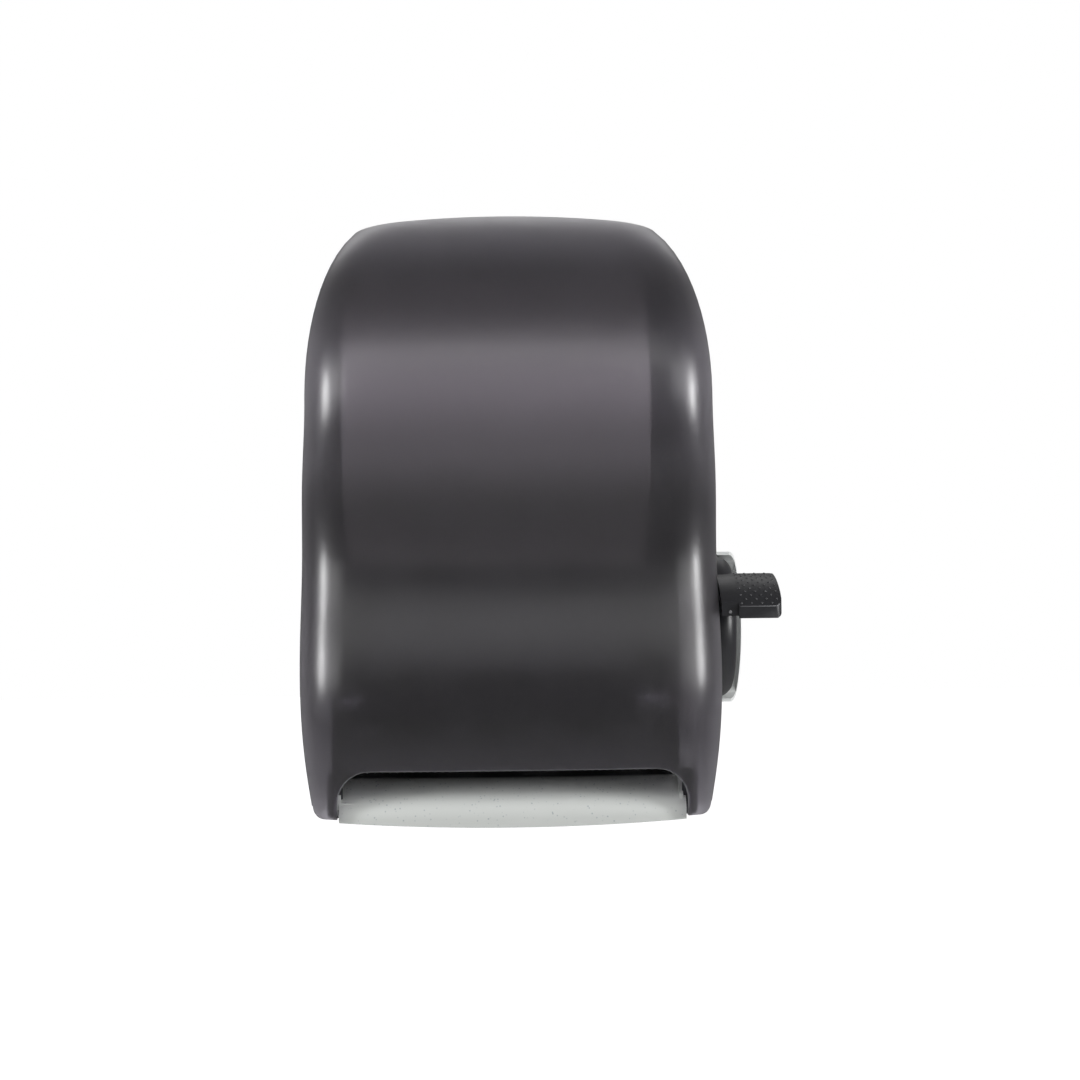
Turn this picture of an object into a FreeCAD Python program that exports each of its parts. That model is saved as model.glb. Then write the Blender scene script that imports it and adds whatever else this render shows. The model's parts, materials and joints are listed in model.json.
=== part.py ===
import FreeCAD, Part
import math
import os
import re
from types import SimpleNamespace

from FreeCAD import Placement, Rotation, Vector

# Lever roll-towel dispenser for a wall. Millimetres.
# Origin: centre of the four wall screw holes, on the wall face of the chassis.
# +X right (the lever's side), -Y out of the wall towards the user, +Z up.

os.makedirs("parts", exist_ok=True)
doc = FreeCAD.newDocument("lever_towel_dispenser")
sheet = doc.addObject("Spreadsheet::Sheet", "sizes")

SIZES = {
    # cover: overall form
    "cover_half": 140.9, "cover_depth": 235, "cover_wall": 2.5, "wall_gap": 1.5,
    "corner_radius": 36, "front_bow": 6, "rim_round": 9,
    "crown_top": 204.7, "crown_radius": 680, "crown_rise": 136.3,
    "crown_side_taper": 60, "crown_front_taper": 150,
    # cover: levels below the crown, and how far each stands in from the largest size
    "bulge_z": 75, "bulge_taper": 5.3,
    "rise_z": 20, "rise_taper": 2.4, "rise_setback": 15,
    "waist_z": -32, "waist_taper": 1.3, "waist_setback": 28,
    "flank_z": -76, "flank_taper": 0.2, "flank_setback": 20.5,
    "chin_z": -118, "chin_setback": 12.5,
    "lip_z": -171, "lip_taper": 3.1, "lip_setback": 21,
    "foot_z": -216, "foot_taper": 9.5, "foot_setback": 31, "flank_levels": 11,
    # cover: openings and hinge
    "ear_bottom": -203.5, "ear_round": 8, "mouth_half": 116.3, "mouth_round": 22,
    "edge_wall": 1.8, "edge_depth": 8,
    "hinge_y": -22, "hinge_z": -190, "hinge_heel": 20.3, "hinge_boss": 8,
    "hinge_pin_radius": 3.5, "pin_play": 0.06, "running_gap": 0.4, "notch_gap": 1.0,
    # chassis
    "chassis_gap": 1.0, "plate_wall": 3, "rim_depth": 9, "rim_wall": 2, "rib_wall": 2.5,
    "rib_depth": 7, "rib_x": 58, "screw_x": 170, "screw_z": 260, "wall_hole": 2.75,
    "screw_boss": 8, "lug_wall": 4, "lug_half_height": 12,
    "shelf_z": 174, "shelf_wall": 3, "shelf_half": 46, "shelf_depth": 80,
    # side frames
    "left_frame_x": -119.5, "right_frame_x": 108, "frame_wall": 3, "frame_top": -42,
    "frame_bottom": -199, "flange_width": 13, "flange_wall": 2.5,
    # gear train
    "lever_setback": 140, "lever_z": -79.5, "gear_module": 2, "sector_teeth": 66, "pinion_teeth": 12,
    "mesh_play": 0.35, "mesh_angle": 37.7, "sector_x": 116, "sector_face": 6, "pinion_x": 113.5,
    "pinion_face": 12, "lever_shaft_radius": 6, "bush_wall": 3, "bush_flange": 1.5,
    # drive roller and pinch roller
    "drive_radius": 20, "core_radius": 17, "drive_shaft_radius": 5, "clutch_seat_radius": 4,
    "clutch_radius": 6.8, "roller_left": -100, "roller_right": 85, "sleeve_width": 45,
    "pinch_radius": 8, "pinch_shaft_radius": 3, "pinch_angle": 60, "pinch_wheel_width": 34,
    "pivot_behind": 28.2, "pivot_drop": 10, "rod_radius": 3, "cheek_wall": 2.5,
    # chute apron
    "apron_half": 115.4, "apron_wall": 2.5, "apron_bow": 12, "works_setback": 32,
    "apron_bottom": -209.5, "apron_sag": 3.5, "cheek_bottom": -202,
    # gear housing and lever
    "panel_inset": 3.1, "panel_wall": 2.4, "housing_radius": 52.5, "guard_wall": 2.3,
    "guard_rise": 29, "guard_slope": 9, "guard_drop": 14.5, "hub_radius": 49, "hub_gap": 0.5, "hub_rise": 15.1,
    "hub_round": 11, "paddle_rise": 42.2, "paddle_round": 6, "paddle_thick": 8.4,
    "paddle_start": 13.5, "arm_back": 3, "dome_rise": 1.4,
    # roll and arms
    "roll_x": -8.7, "roll_behind": 14, "roll_room": 35, "roll_z": 65, "roll_width": 203,
    "core_bore": 19.5, "core_wall": 2, "arm_gap": 2, "arm_wall": 4, "arm_pin_y": -8,
    "arm_pin_radius": 2, "arm_barrel_radius": 4.5, "arm_half_height": 30, "arm_end_radius": 27,
    "nose_radius": 19.44, "nose_tip": 14, "nose_length": 11,
    # lock
    "lock_y": -60, "lock_radius": 9, "lock_flange": 12, "cam_length": 24, "cam_width": 9,
    "cam_wall": 3, "cam_z": 184,
}

for row, (alias, number) in enumerate(SIZES.items(), start=1):
    sheet.set(f"A{row}", alias)
    sheet.set(f"B{row}", str(number))
    sheet.setAlias(f"B{row}", alias)
doc.recompute()
d = SimpleNamespace(**{alias: float(sheet.get(alias)) for alias in SIZES})

parts = []
ALONG_X = Rotation(Vector(0, 1, 0), 90)
UPWARD = Rotation(Vector(0, 1, 0), -90)

# Places that follow the cover's size, as the sheet's formulas want them.
LEVER_Y = "(lever_setback - cover_depth)"
ROLL_Y = "(-roll_behind - (cover_depth - roll_room) / 2)"
PANEL_X = "(cover_half - panel_inset)"
HUB_X = "(cover_half + hub_gap)"

# Sizes worked out from the sheet that several pieces share.
lever_y = d.lever_setback - d.cover_depth
works_front = d.cover_depth - d.works_setback
roll_radius = (d.cover_depth - d.roll_room) / 2
roll_y = -d.roll_behind - roll_radius
panel_x = d.cover_half - d.panel_inset
hub_face_x = d.cover_half + d.hub_rise
centre_distance = d.gear_module * (d.sector_teeth + d.pinion_teeth) / 2 + d.mesh_play
mesh = math.radians(d.mesh_angle)
drive_y = lever_y - centre_distance * math.cos(mesh)
drive_z = d.lever_z - centre_distance * math.sin(mesh)
nip = math.radians(d.pinch_angle)
nip_distance = d.drive_radius + d.pinch_radius + d.running_gap
pinch_y = drive_y + nip_distance * math.cos(nip)
pinch_z = drive_z - nip_distance * math.sin(nip)
pivot_y = pinch_y + d.pivot_behind
pivot_z = pinch_z - d.pivot_drop
frame_left_in = d.left_frame_x + d.frame_wall
roll_left = d.roll_x - d.roll_width / 2
roll_right = d.roll_x + d.roll_width / 2
left_arm_x = roll_left - d.arm_gap - d.arm_wall
right_arm_x = roll_right + d.arm_gap
lever_hinge_radius = math.hypot(lever_y - d.hinge_y, d.lever_z - d.hinge_z)


# ---------------------------------------------------------------- helpers

def formula(text):
    """A formula in plain size names, as the sheet's expressions want it."""
    return re.sub(r"[a-z]\w*", lambda name: "sizes." + name.group(), text)


def bind(item, **sizes):
    for prop, text in sizes.items():
        item.setExpression(prop, formula(text))


def keep(item, label):
    """Mark a finished piece: its label is its file name."""
    item.Label = label
    parts.append(item)
    return item


def place(item, along="", inward="", upward="", turn=None):
    if turn:
        item.Placement = Placement(Vector(), turn)
    for axis, text in (("x", along), ("y", inward), ("z", upward)):
        if text:
            item.setExpression("Placement.Base." + axis, formula(text))
    return item


def rounded(points):
    """Closed outline of lines and corner arcs from (u, v, corner radius)."""
    curves = []
    ends = []
    for index, (u, v, radius) in enumerate(points):
        corner = Vector(u, v, 0)
        before = Vector(*points[index - 1][:2], 0) - corner
        after = Vector(*points[(index + 1) % len(points)][:2], 0) - corner
        before.normalize()
        after.normalize()
        half = before.getAngle(after) / 2
        if radius <= 0 or half > math.pi / 2 - 1e-4:
            ends.append((corner, corner, None))
            continue
        reach = radius / math.tan(half)
        middle = (before + after).normalize()
        top = corner + middle * (radius / math.sin(half) - radius)
        ends.append((corner + before * reach, corner + after * reach, top))
    for index, (start, finish, top) in enumerate(ends):
        if top is not None:
            curves.append(Part.Arc(start, top, finish))
        following = ends[(index + 1) % len(ends)][0]
        if finish.distanceToPoint(following) > 1e-6:
            curves.append(Part.LineSegment(finish, following))
    return curves


def circle(u, v, radius):
    return [Part.Circle(Vector(u, v, 0), Vector(0, 0, 1), radius)]


def new_body(name):
    return doc.addObject("PartDesign::Body", name)


def draw(body, role, outline, offset="0"):
    """Sketch on one of the body's own origin planes, moved along its normal."""
    plane = next(item for item in body.Origin.OriginFeatures if item.Role == role)
    sketch = body.newObject("Sketcher::SketchObject", body.Name + "_outline")
    sketch.AttachmentSupport = [(plane, "")]
    sketch.MapMode = "FlatFace"
    sketch.setExpression("AttachmentOffset.Base.z", formula(offset))
    for curve in outline:
        sketch.addGeometry(curve, False)
    sketch.Visibility = False
    return sketch


def pad(body, role, outline, length, offset="0"):
    feature = body.newObject("PartDesign::Pad", body.Name + "_pad")
    feature.Profile = draw(body, role, outline, offset)
    feature.setExpression("Length", formula(length))
    body.Tip = feature
    return feature


def pocket(body, role, outline, length, offset="0"):
    """Cut from the sketch along its plane's normal."""
    before = recomputed_volume(body)
    feature = body.newObject("PartDesign::Pocket", body.Name + "_pocket")
    feature.Profile = draw(body, role, outline, offset)
    feature.Reversed = True
    feature.setExpression("Length", formula(length))
    body.Tip = feature
    if recomputed_volume(body) > before - 1e-3:
        raise RuntimeError(body.Name + ": a pocket cuts nothing")
    return feature


def recomputed_volume(body):
    doc.recompute()
    return body.Shape.Volume


def turned(name, outline, inward="", upward="", along="", turn=None):
    """Lathe-turned piece: (station along the axis, radius) points round the X axis."""
    body = new_body(name)
    feature = body.newObject("PartDesign::Revolution", name + "_turn")
    sketch = draw(body, "XY_Plane", rounded([(*point, 0) for point in outline]))
    feature.Profile = sketch
    feature.ReferenceAxis = (sketch, ["H_Axis"])
    feature.Angle = 360
    body.Tip = feature
    place(body, along, inward, upward, turn)
    return body


def rod(name, radius, start, length, inward, upward, turn=ALONG_X):
    item = doc.addObject("Part::Cylinder", name)
    bind(item, Radius=radius, Height=length)
    return place(item, start, inward, upward, turn)


def block(name, lengths, along, inward, upward):
    item = doc.addObject("Part::Box", name)
    bind(item, Length=lengths[0], Width=lengths[1], Height=lengths[2])
    return place(item, along, inward, upward)


def fuse(name, *items):
    item = doc.addObject("Part::MultiFuse", name)
    item.Shapes = list(items)
    return item


def cut(name, base, tool):
    item = doc.addObject("Part::Cut", name)
    item.Base = base
    item.Tool = tool
    return item


def group(name, *items):
    item = doc.addObject("Part::Compound", name)
    item.Links = list(items)
    return item


def feature_from(name, shape):
    item = doc.addObject("Part::Feature", name)
    item.Shape = shape
    return item


def prism(outline, start, length, normal):
    """Solid between an outline drawn in XZ (normal Y) or YZ (normal X) and its copy."""
    wire = Part.Wire([curve.toShape() for curve in outline])
    if normal == "Y":
        wire.rotate(Vector(), Vector(1, 0, 0), 90)
        wire.translate(Vector(0, start, 0))
        return Part.Face(wire).extrude(Vector(0, length, 0))
    wire.rotate(Vector(), Vector(1, 1, 1), 120)
    wire.translate(Vector(start, 0, 0))
    return Part.Face(wire).extrude(Vector(length, 0, 0))


# ---------------------------------------------------------------- cover form

def cover_levels(inset):
    """(height, half width, depth) from the foot up over the bulge into the crown."""
    half = d.cover_half - inset
    depth = d.cover_depth - inset
    named = [
        (d.foot_z, half - d.foot_taper, depth - d.foot_setback),
        (d.lip_z, half - d.lip_taper, depth - d.lip_setback),
        (d.chin_z, half, depth - d.chin_setback),
        (d.flank_z, half - d.flank_taper, depth - d.flank_setback),
        (d.waist_z, half - d.waist_taper, depth - d.waist_setback),
        (d.rise_z, half - d.rise_taper, depth - d.rise_setback),
        (d.bulge_z, half - d.bulge_taper, depth),
    ]
    flank = Part.BSplineCurve()
    flank.interpolate(Points=[Vector(wide, deep, height) for height, wide, deep in named],
                      InitialTangent=Vector(d.foot_taper - d.lip_taper, 8, d.lip_z - d.foot_z),
                      FinalTangent=Vector(0, 0, d.lip_z - d.foot_z))
    levels = [(point.z, point.x, point.y)
              for point in flank.toShape().discretize(Number=int(d.flank_levels))]
    for degrees in (15, 29, 41, 51, 60, 78):
        lean = math.radians(degrees)
        levels.append((
            d.bulge_z + (d.crown_rise - inset) * math.sin(lean),
            half - d.bulge_taper - (d.crown_side_taper - inset) * (1 - math.cos(lean)) ,
            depth - (d.crown_front_taper - inset) * (1 - math.cos(lean)),
        ))
    return levels


def cover_ring(height, half, depth, corner, rear):
    """One level: straight sides, round corners and a bowed front, all tangent."""
    reach = half - corner
    bow = (reach ** 2 + d.front_bow ** 2) / (2 * d.front_bow) + corner
    front_centre = bow - depth
    corner_y = front_centre - math.sqrt((bow - corner) ** 2 - reach ** 2)
    lean = math.atan2(reach, front_centre - corner_y)
    touch = Vector(bow * math.sin(lean), front_centre - bow * math.cos(lean), height)
    bend = (math.pi / 2 + lean) / 2
    knee = Vector(reach + corner * math.sin(bend), corner_y - corner * math.cos(bend), height)
    side = Vector(half, corner_y, height)
    back = Vector(half, rear, height)

    def mirrored(point):
        return Vector(-point.x, point.y, point.z)

    return Part.Wire([
        Part.LineSegment(back, side).toShape(),
        Part.Arc(side, knee, touch).toShape(),
        Part.Arc(touch, Vector(0, -depth, height), mirrored(touch)).toShape(),
        Part.Arc(mirrored(touch), mirrored(knee), mirrored(side)).toShape(),
        Part.LineSegment(mirrored(side), mirrored(back)).toShape(),
        Part.LineSegment(mirrored(back), back).toShape(),
    ])


def crown_outline(inset):
    """Front outline that trims the form: arched crown on top, round ear corners below."""
    top = d.crown_top - inset
    wide = d.cover_half + 40
    drop = d.crown_radius - math.sqrt(d.crown_radius ** 2 - wide ** 2)
    corner_x = d.cover_half - d.foot_taper - d.ear_round + 2
    low = d.ear_bottom
    left, right = -wide, wide
    turn = d.ear_round * math.sqrt(0.5)
    return [
        Part.Arc(Vector(right, top - drop, 0), Vector(0, top, 0), Vector(left, top - drop, 0)),
        Part.LineSegment(Vector(left, top - drop, 0), Vector(left, low + d.ear_round, 0)),
        Part.LineSegment(Vector(left, low + d.ear_round, 0),
                         Vector(-corner_x - d.ear_round, low + d.ear_round, 0)),
        Part.Arc(Vector(-corner_x - d.ear_round, low + d.ear_round, 0),
                 Vector(-corner_x - turn, low + d.ear_round - turn, 0),
                 Vector(-corner_x, low, 0)),
        Part.LineSegment(Vector(-corner_x, low, 0), Vector(corner_x, low, 0)),
        Part.Arc(Vector(corner_x, low, 0),
                 Vector(corner_x + turn, low + d.ear_round - turn, 0),
                 Vector(corner_x + d.ear_round, low + d.ear_round, 0)),
        Part.LineSegment(Vector(corner_x + d.ear_round, low + d.ear_round, 0),
                         Vector(right, low + d.ear_round, 0)),
        Part.LineSegment(Vector(right, low + d.ear_round, 0), Vector(right, top - drop, 0)),
    ]


def cover_form(inset, rear, rim_round=0):
    """Solid bounded by the cover's outer face moved inwards by inset."""
    rings = [cover_ring(height, half, depth, d.corner_radius - inset, rear)
             for height, half, depth in cover_levels(inset)]
    form = Part.makeLoft(rings, True, True)
    trim = prism(crown_outline(inset), rear + 1, -(d.cover_depth + 20), "Y")
    form = form.common(trim)
    if rim_round:
        form = round_rim(form, rim_round)
    return form


def round_rim(form, radius):
    """Round the edge between the arched crown and the walls, but not the wall side."""
    rim = []
    for edge in form.Edges:
        box = edge.BoundBox
        arched = box.ZMin > d.crown_top - 20 and box.YMin < -d.wall_gap - 5
        if arched and touches_crown(form, edge):
            rim.append(edge)
    return form.makeFillet(radius, rim)


def touches_crown(form, edge):
    """True for an edge shared by the arched top face and another face."""
    owners = [face for face in form.Faces
              if any(edge.isSame(other) for other in face.Edges)]
    return any(face.normalAt(*middle_of(face)).z > 0.985 for face in owners)


def middle_of(face):
    low_u, high_u, low_v, high_v = face.ParameterRange
    return (low_u + high_u) / 2, (low_v + high_v) / 2


def hinge_point(radius, degrees):
    """YZ point at a radius from the cover hinge, measured from up towards the front."""
    lean = math.radians(degrees)
    return (d.hinge_y - radius * math.sin(lean), d.hinge_z + radius * math.cos(lean))


def housing_outline(grow):
    """Side panel seen along X: a band swept about the hinge, with a round front end."""
    outer = lever_hinge_radius + d.housing_radius + grow
    inner = lever_hinge_radius - d.housing_radius - grow
    front = math.degrees(math.atan2(d.hinge_y - lever_y, d.lever_z - d.hinge_z))
    rear_y = -d.wall_gap + grow
    outer_rear = -math.degrees(math.asin((rear_y - d.hinge_y) / outer))
    inner_rear = -math.degrees(math.asin((rear_y - d.hinge_y) / inner))

    def at(radius, degrees):
        return Vector(*hinge_point(radius, degrees), 0)

    reach = d.housing_radius + grow
    tip_lean = math.radians(front)
    tip = Vector(lever_y - reach * math.cos(tip_lean), d.lever_z - reach * math.sin(tip_lean), 0)
    return [
        Part.Arc(at(outer, outer_rear), at(outer, (outer_rear + front) / 2), at(outer, front)),
        Part.Arc(at(outer, front), tip, at(inner, front)),
        Part.Arc(at(inner, front), at(inner, (inner_rear + front) / 2), at(inner, inner_rear)),
        Part.LineSegment(at(inner, inner_rear), at(outer, outer_rear)),
    ]


# ---------------------------------------------------------------- cover pieces

def front_cover():
    shell = cover_form(0, -d.wall_gap, d.rim_round)
    shell = shell.cut(cover_form(d.cover_wall, 1.0, d.rim_round - d.cover_wall))
    below = prism(rounded([(-d.cover_half, -260, 0), (d.cover_half, -260, 0),
                           (d.cover_half, d.ear_bottom - 5, 0),
                           (-d.cover_half, d.ear_bottom - 5, 0)]), 0, -d.cover_depth - 20, "Y")
    mouth = prism(rounded([(-d.mouth_half, d.foot_z - 10, 0), (d.mouth_half, d.foot_z - 10, 0),
                           (d.mouth_half, d.lip_z, d.mouth_round),
                           (-d.mouth_half, d.lip_z, d.mouth_round)]),
                  -60, -d.cover_depth, "Y")
    edge = prism(rounded([(-d.mouth_half - d.edge_wall, d.foot_z - 10, 0),
                          (d.mouth_half + d.edge_wall, d.foot_z - 10, 0),
                          (d.mouth_half + d.edge_wall, d.lip_z + d.edge_wall,
                           d.mouth_round + d.edge_wall),
                          (-d.mouth_half - d.edge_wall, d.lip_z + d.edge_wall,
                           d.mouth_round + d.edge_wall)]), -60, -d.cover_depth, "Y")
    edge = edge.common(cover_form(0, -d.wall_gap)).cut(cover_form(d.edge_depth, 1.0))
    shell = shell.fuse(edge)
    floor = prism(rounded([(-d.cover_half + 12, d.foot_z - 10, 0),
                           (d.cover_half - 12, d.foot_z - 10, 0),
                           (d.cover_half - 12, d.ear_bottom + 4, 0),
                           (-d.cover_half + 12, d.ear_bottom + 4, 0)]), 5, -90, "Y")
    shell = shell.cut([below, mouth, floor])
    heel = Part.makeBox(400, 60, 60, Vector(-200, d.hinge_y, d.hinge_z - 60))
    heel = heel.cut(Part.makeCylinder(d.hinge_heel, 400, Vector(-200, d.hinge_y, d.hinge_z),
                                      Vector(1, 0, 0)))
    notch = prism(housing_outline(d.notch_gap), d.cover_half - 30, 60, "X")
    shell = shell.cut([heel, notch])
    boss_end = d.cover_half - 8.5
    boss_start = d.cover_half - 10.6
    for side in (1, -1):
        boss = Part.makeCylinder(d.hinge_boss, boss_end - boss_start + 1.6,
                                 Vector(side * boss_start, d.hinge_y, d.hinge_z),
                                 Vector(side, 0, 0))
        shell = shell.fuse(boss)
    shell = shell.cut(Part.makeCylinder(d.hinge_pin_radius + d.pin_play, 400,
                                        Vector(-200, d.hinge_y, d.hinge_z), Vector(1, 0, 0)))
    shell = shell.cut(Part.makeCylinder(d.lock_radius, 60, Vector(0, d.lock_y, d.crown_top - 30)))
    return keep(feature_from("front_cover_form", shell.removeSplitter()), "front_cover")


def lock_pieces():
    """Barrel through the crown, nut under it and a cam that swings behind the strike."""
    head = d.crown_top
    nut_top = d.crown_top - d.cover_wall - 0.3
    barrel = turned("lock_barrel", [
        (d.cam_z - head + d.cam_wall, 0), (d.cam_z - head + d.cam_wall, 4),
        (d.cam_z - head + d.cam_wall + 2, 4), (d.cam_z - head + d.cam_wall + 2, d.lock_radius - 0.1),
        (0.3, d.lock_radius - 0.1), (0.3, d.lock_flange), (1.2, d.lock_flange - 0.8), (1.6, 8),
        (1.2, 6), (1.2, 0)], "lock_y", "crown_top", turn=UPWARD)
    keep(barrel, "lock_barrel")
    nut = new_body("lock_nut")
    hexagon = [(14 * math.cos(math.radians(60 * k)), 14 * math.sin(math.radians(60 * k)), 0)
               for k in range(6)]
    pad(nut, "XY_Plane", rounded(hexagon) + circle(0, 0, d.lock_radius + 0.1), "3")
    nut.Placement = Placement(Vector(0, d.lock_y, nut_top - 3), Rotation())
    keep(nut, "lock_nut")
    cam = new_body("lock_cam")
    half = d.cam_width / 2
    pad(cam, "XY_Plane", rounded([(-half, -half, half - 0.1), (half, -half, half - 0.1),
                                  (half, d.cam_length, 2), (-half, d.cam_length, 2)]),
        "cam_wall")
    place(cam, inward="lock_y", upward="cam_z")
    keep(cam, "lock_cam")


# ---------------------------------------------------------------- chassis

def chassis_back():
    inset = d.cover_wall + d.chassis_gap
    full = cover_form(inset, 3)
    slab = Part.makeBox(400, d.plate_wall, 500, Vector(-200, -d.plate_wall, -250))
    plate = full.common(slab)
    deep = full.common(Part.makeBox(400, d.rim_depth, 500, Vector(-200, -d.rim_depth, -250)))
    hollow = cover_form(inset + d.rim_wall, 4)
    rim = deep.cut(hollow)
    plate = plate.fuse(rim)
    clear_x = d.cover_half - d.foot_taper - d.cover_wall - 0.7
    for side in (-1, 1):
        plate = plate.cut(Part.makeCylinder(d.hinge_heel + 9, 20,
                                            Vector(side * clear_x, d.hinge_y, d.hinge_z),
                                            Vector(side, 0, 0)))
    plate = feature_from("chassis_plate", plate.removeSplitter())
    pieces = [plate]
    for side in (-1, 1):
        rib = block(f"chassis_rib_{side + 2}", ("rib_wall", "rib_depth", "330"),
                    f"{side} * rib_x - rib_wall / 2", "-rib_depth", "-160")
        pieces.append(rib)
        for row in (-1, 1):
            boss = rod(f"chassis_boss_{side + 2}_{row + 2}", "screw_boss", f"{side} * screw_x / 2",
                       "plate_wall + 2", "0", f"{row} * screw_z / 2",
                       turn=Rotation(Vector(1, 0, 0), 90))
            pieces.append(boss)
        pieces.append(hinge_lug(side))
        pieces += arm_lugs(side)
    pieces += shelf_pieces()
    solid = fuse("chassis_solid", *pieces)
    holes = []
    turn = Rotation(Vector(1, 0, 0), 90)
    for side in (-1, 1):
        for row in (-1, 1):
            holes.append(rod(f"wall_hole_{side + 2}_{row + 2}", "wall_hole",
                             f"{side} * screw_x / 2", "plate_wall + 4", "1",
                             f"{row} * screw_z / 2", turn=turn))
        lean = arm_pin_x(side)
        pin = rod(f"arm_pin_hole_{side + 2}", "arm_pin_radius", "", "2 * arm_half_height + 20",
                  "arm_pin_y", "roll_z - arm_half_height - 10", turn=Rotation())
        pin.Placement.Base.x = lean
        holes.append(pin)
    holes.append(rod("hinge_hole", "hinge_pin_radius", "-200", "400", "hinge_y", "hinge_z"))
    chassis = cut("chassis_cut", solid, fuse("chassis_holes", *holes))
    chassis.Refine = True
    return keep(chassis, "chassis_back")


def hinge_lug(side):
    """Ear that carries one cover hinge pin."""
    lug = new_body(f"hinge_lug_{side + 2}")
    outer = d.cover_half - d.foot_taper - d.cover_wall - d.chassis_gap - 0.4
    start = outer - d.lug_wall if side > 0 else -outer
    low, high = d.hinge_z - d.lug_half_height, d.hinge_z + d.lug_half_height
    front = d.hinge_y - 8
    pad(lug, "YZ_Plane", rounded([(-0.5, low, 0), (front, low, 7.5), (front, high, 7.5),
                                  (-0.5, high + 14, 0)]), "lug_wall", str(round(start, 4)))
    return lug


def arm_pin_x(side):
    return (left_arm_x if side < 0 else right_arm_x) + d.arm_wall / 2


def arm_lugs(side):
    """Upper and lower eye of one roll arm's hinge."""
    lugs = []
    for end in (-1, 1):
        lug = new_body(f"arm_lug_{side + 2}_{end + 2}")
        centre = arm_pin_x(side)
        reach = d.arm_pin_y - d.arm_barrel_radius
        width = d.arm_barrel_radius
        outline = rounded([(centre - width - 1, -0.5, 0), (centre - width, reach, width - 0.5),
                           (centre + width, reach, width - 0.5), (centre + width + 1, -0.5, 0)])
        offset = ("roll_z + arm_half_height + running_gap" if end > 0
                  else "roll_z - arm_half_height - running_gap - 6")
        pad(lug, "XY_Plane", outline, "6", offset)
        lugs.append(lug)
    return lugs


def shelf_pieces():
    """Shelf over the roll with gussets, and the two posts that the lock cam hooks behind."""
    shelf = new_body("chassis_shelf")
    depth = d.shelf_depth
    pad(shelf, "XY_Plane", rounded([(-d.shelf_half - 14, -1, 0), (-d.shelf_half, -depth, 12),
                                    (d.shelf_half, -depth, 12), (d.shelf_half + 14, -1, 0)]),
        "shelf_wall", "shelf_z")
    pieces = [shelf]
    for side in (-1, 1):
        gusset = new_body(f"shelf_gusset_{side + 2}")
        top = d.shelf_z + d.shelf_wall
        pad(gusset, "YZ_Plane", rounded([(-1, d.shelf_z + 1, 0), (-depth + 16, d.shelf_z + 1, 0),
                                         (-depth + 16, top + 4, 2), (-1, top + 22, 0)]),
            "rib_wall", f"{side} * (shelf_half - 8)")
        pieces.append(gusset)
        post = new_body(f"strike_post_{side + 2}")
        front = d.lock_y - d.cam_width / 2 - 1.2
        start = "lock_radius + 3.5" if side > 0 else "-lock_radius - 3.5 - 12"
        pad(post, "YZ_Plane", rounded([(front, top - 1, 0), (front, d.cam_z + 6, 1),
                                       (front - 4, d.cam_z + 6, 2), (front - 8, top - 1, 0)]),
            "12", start)
        pieces.append(post)
    return pieces


def frame_outline():
    """Side frame seen along X, (y, z, corner radius)."""
    back = -d.plate_wall
    front = works_front
    return [
        (back, d.frame_top, 0), (lever_y - 22, d.frame_top, 26),
        (drive_y - 26, drive_z + 34, 24), (7 - front, -152, 14), (10 - front, -173, 5),
        (36 - front, -177.5, 4), (71 - front, -163.4, 8), (83 - front, d.frame_bottom + 8, 8),
        (95 - front, d.frame_bottom, 8), (back, d.frame_bottom, 0),
    ]


def side_frame(name, start, flange_start, with_lever):
    frame = new_body(name)
    pad(frame, "YZ_Plane", rounded(frame_outline()), "frame_wall", start)
    flange = [(flange_start, d.frame_bottom + 14, 0),
              (flange_start + d.flange_width + d.frame_wall, d.frame_bottom + 14, 0),
              (flange_start + d.flange_width + d.frame_wall, d.frame_top - 10, 0),
              (flange_start, d.frame_top - 10, 0)]
    pad(frame, "XZ_Plane", rounded(flange), "flange_wall", "plate_wall")
    bush = d.drive_shaft_radius + d.bush_wall
    pocket(frame, "YZ_Plane", circle(drive_y, drive_z, bush), "frame_wall", start)
    pocket(frame, "YZ_Plane", circle(pivot_y, pivot_z, d.rod_radius), "frame_wall", start)
    window = [(lever_y * share, z, corner) for share, z, corner in
              ((0.23, -176, 8), (0.88, -176, 10), (1.05, -146, 10), (0.63, -128, 12),
               (0.23, -128, 8))]
    pocket(frame, "YZ_Plane", rounded(window), "frame_wall", start)
    if with_lever:
        pocket(frame, "YZ_Plane",
               circle(lever_y, d.lever_z, d.lever_shaft_radius + d.bush_wall),
               "frame_wall", start)
    else:
        window = [(lever_y * share, z, corner) for share, z, corner in
                  ((0.23, -108, 8), (0.65, -108, 10), (0.93, -62, 12), (0.23, -62, 8))]
        pocket(frame, "YZ_Plane", rounded(window), "frame_wall", start)
    return keep(frame, name)


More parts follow.
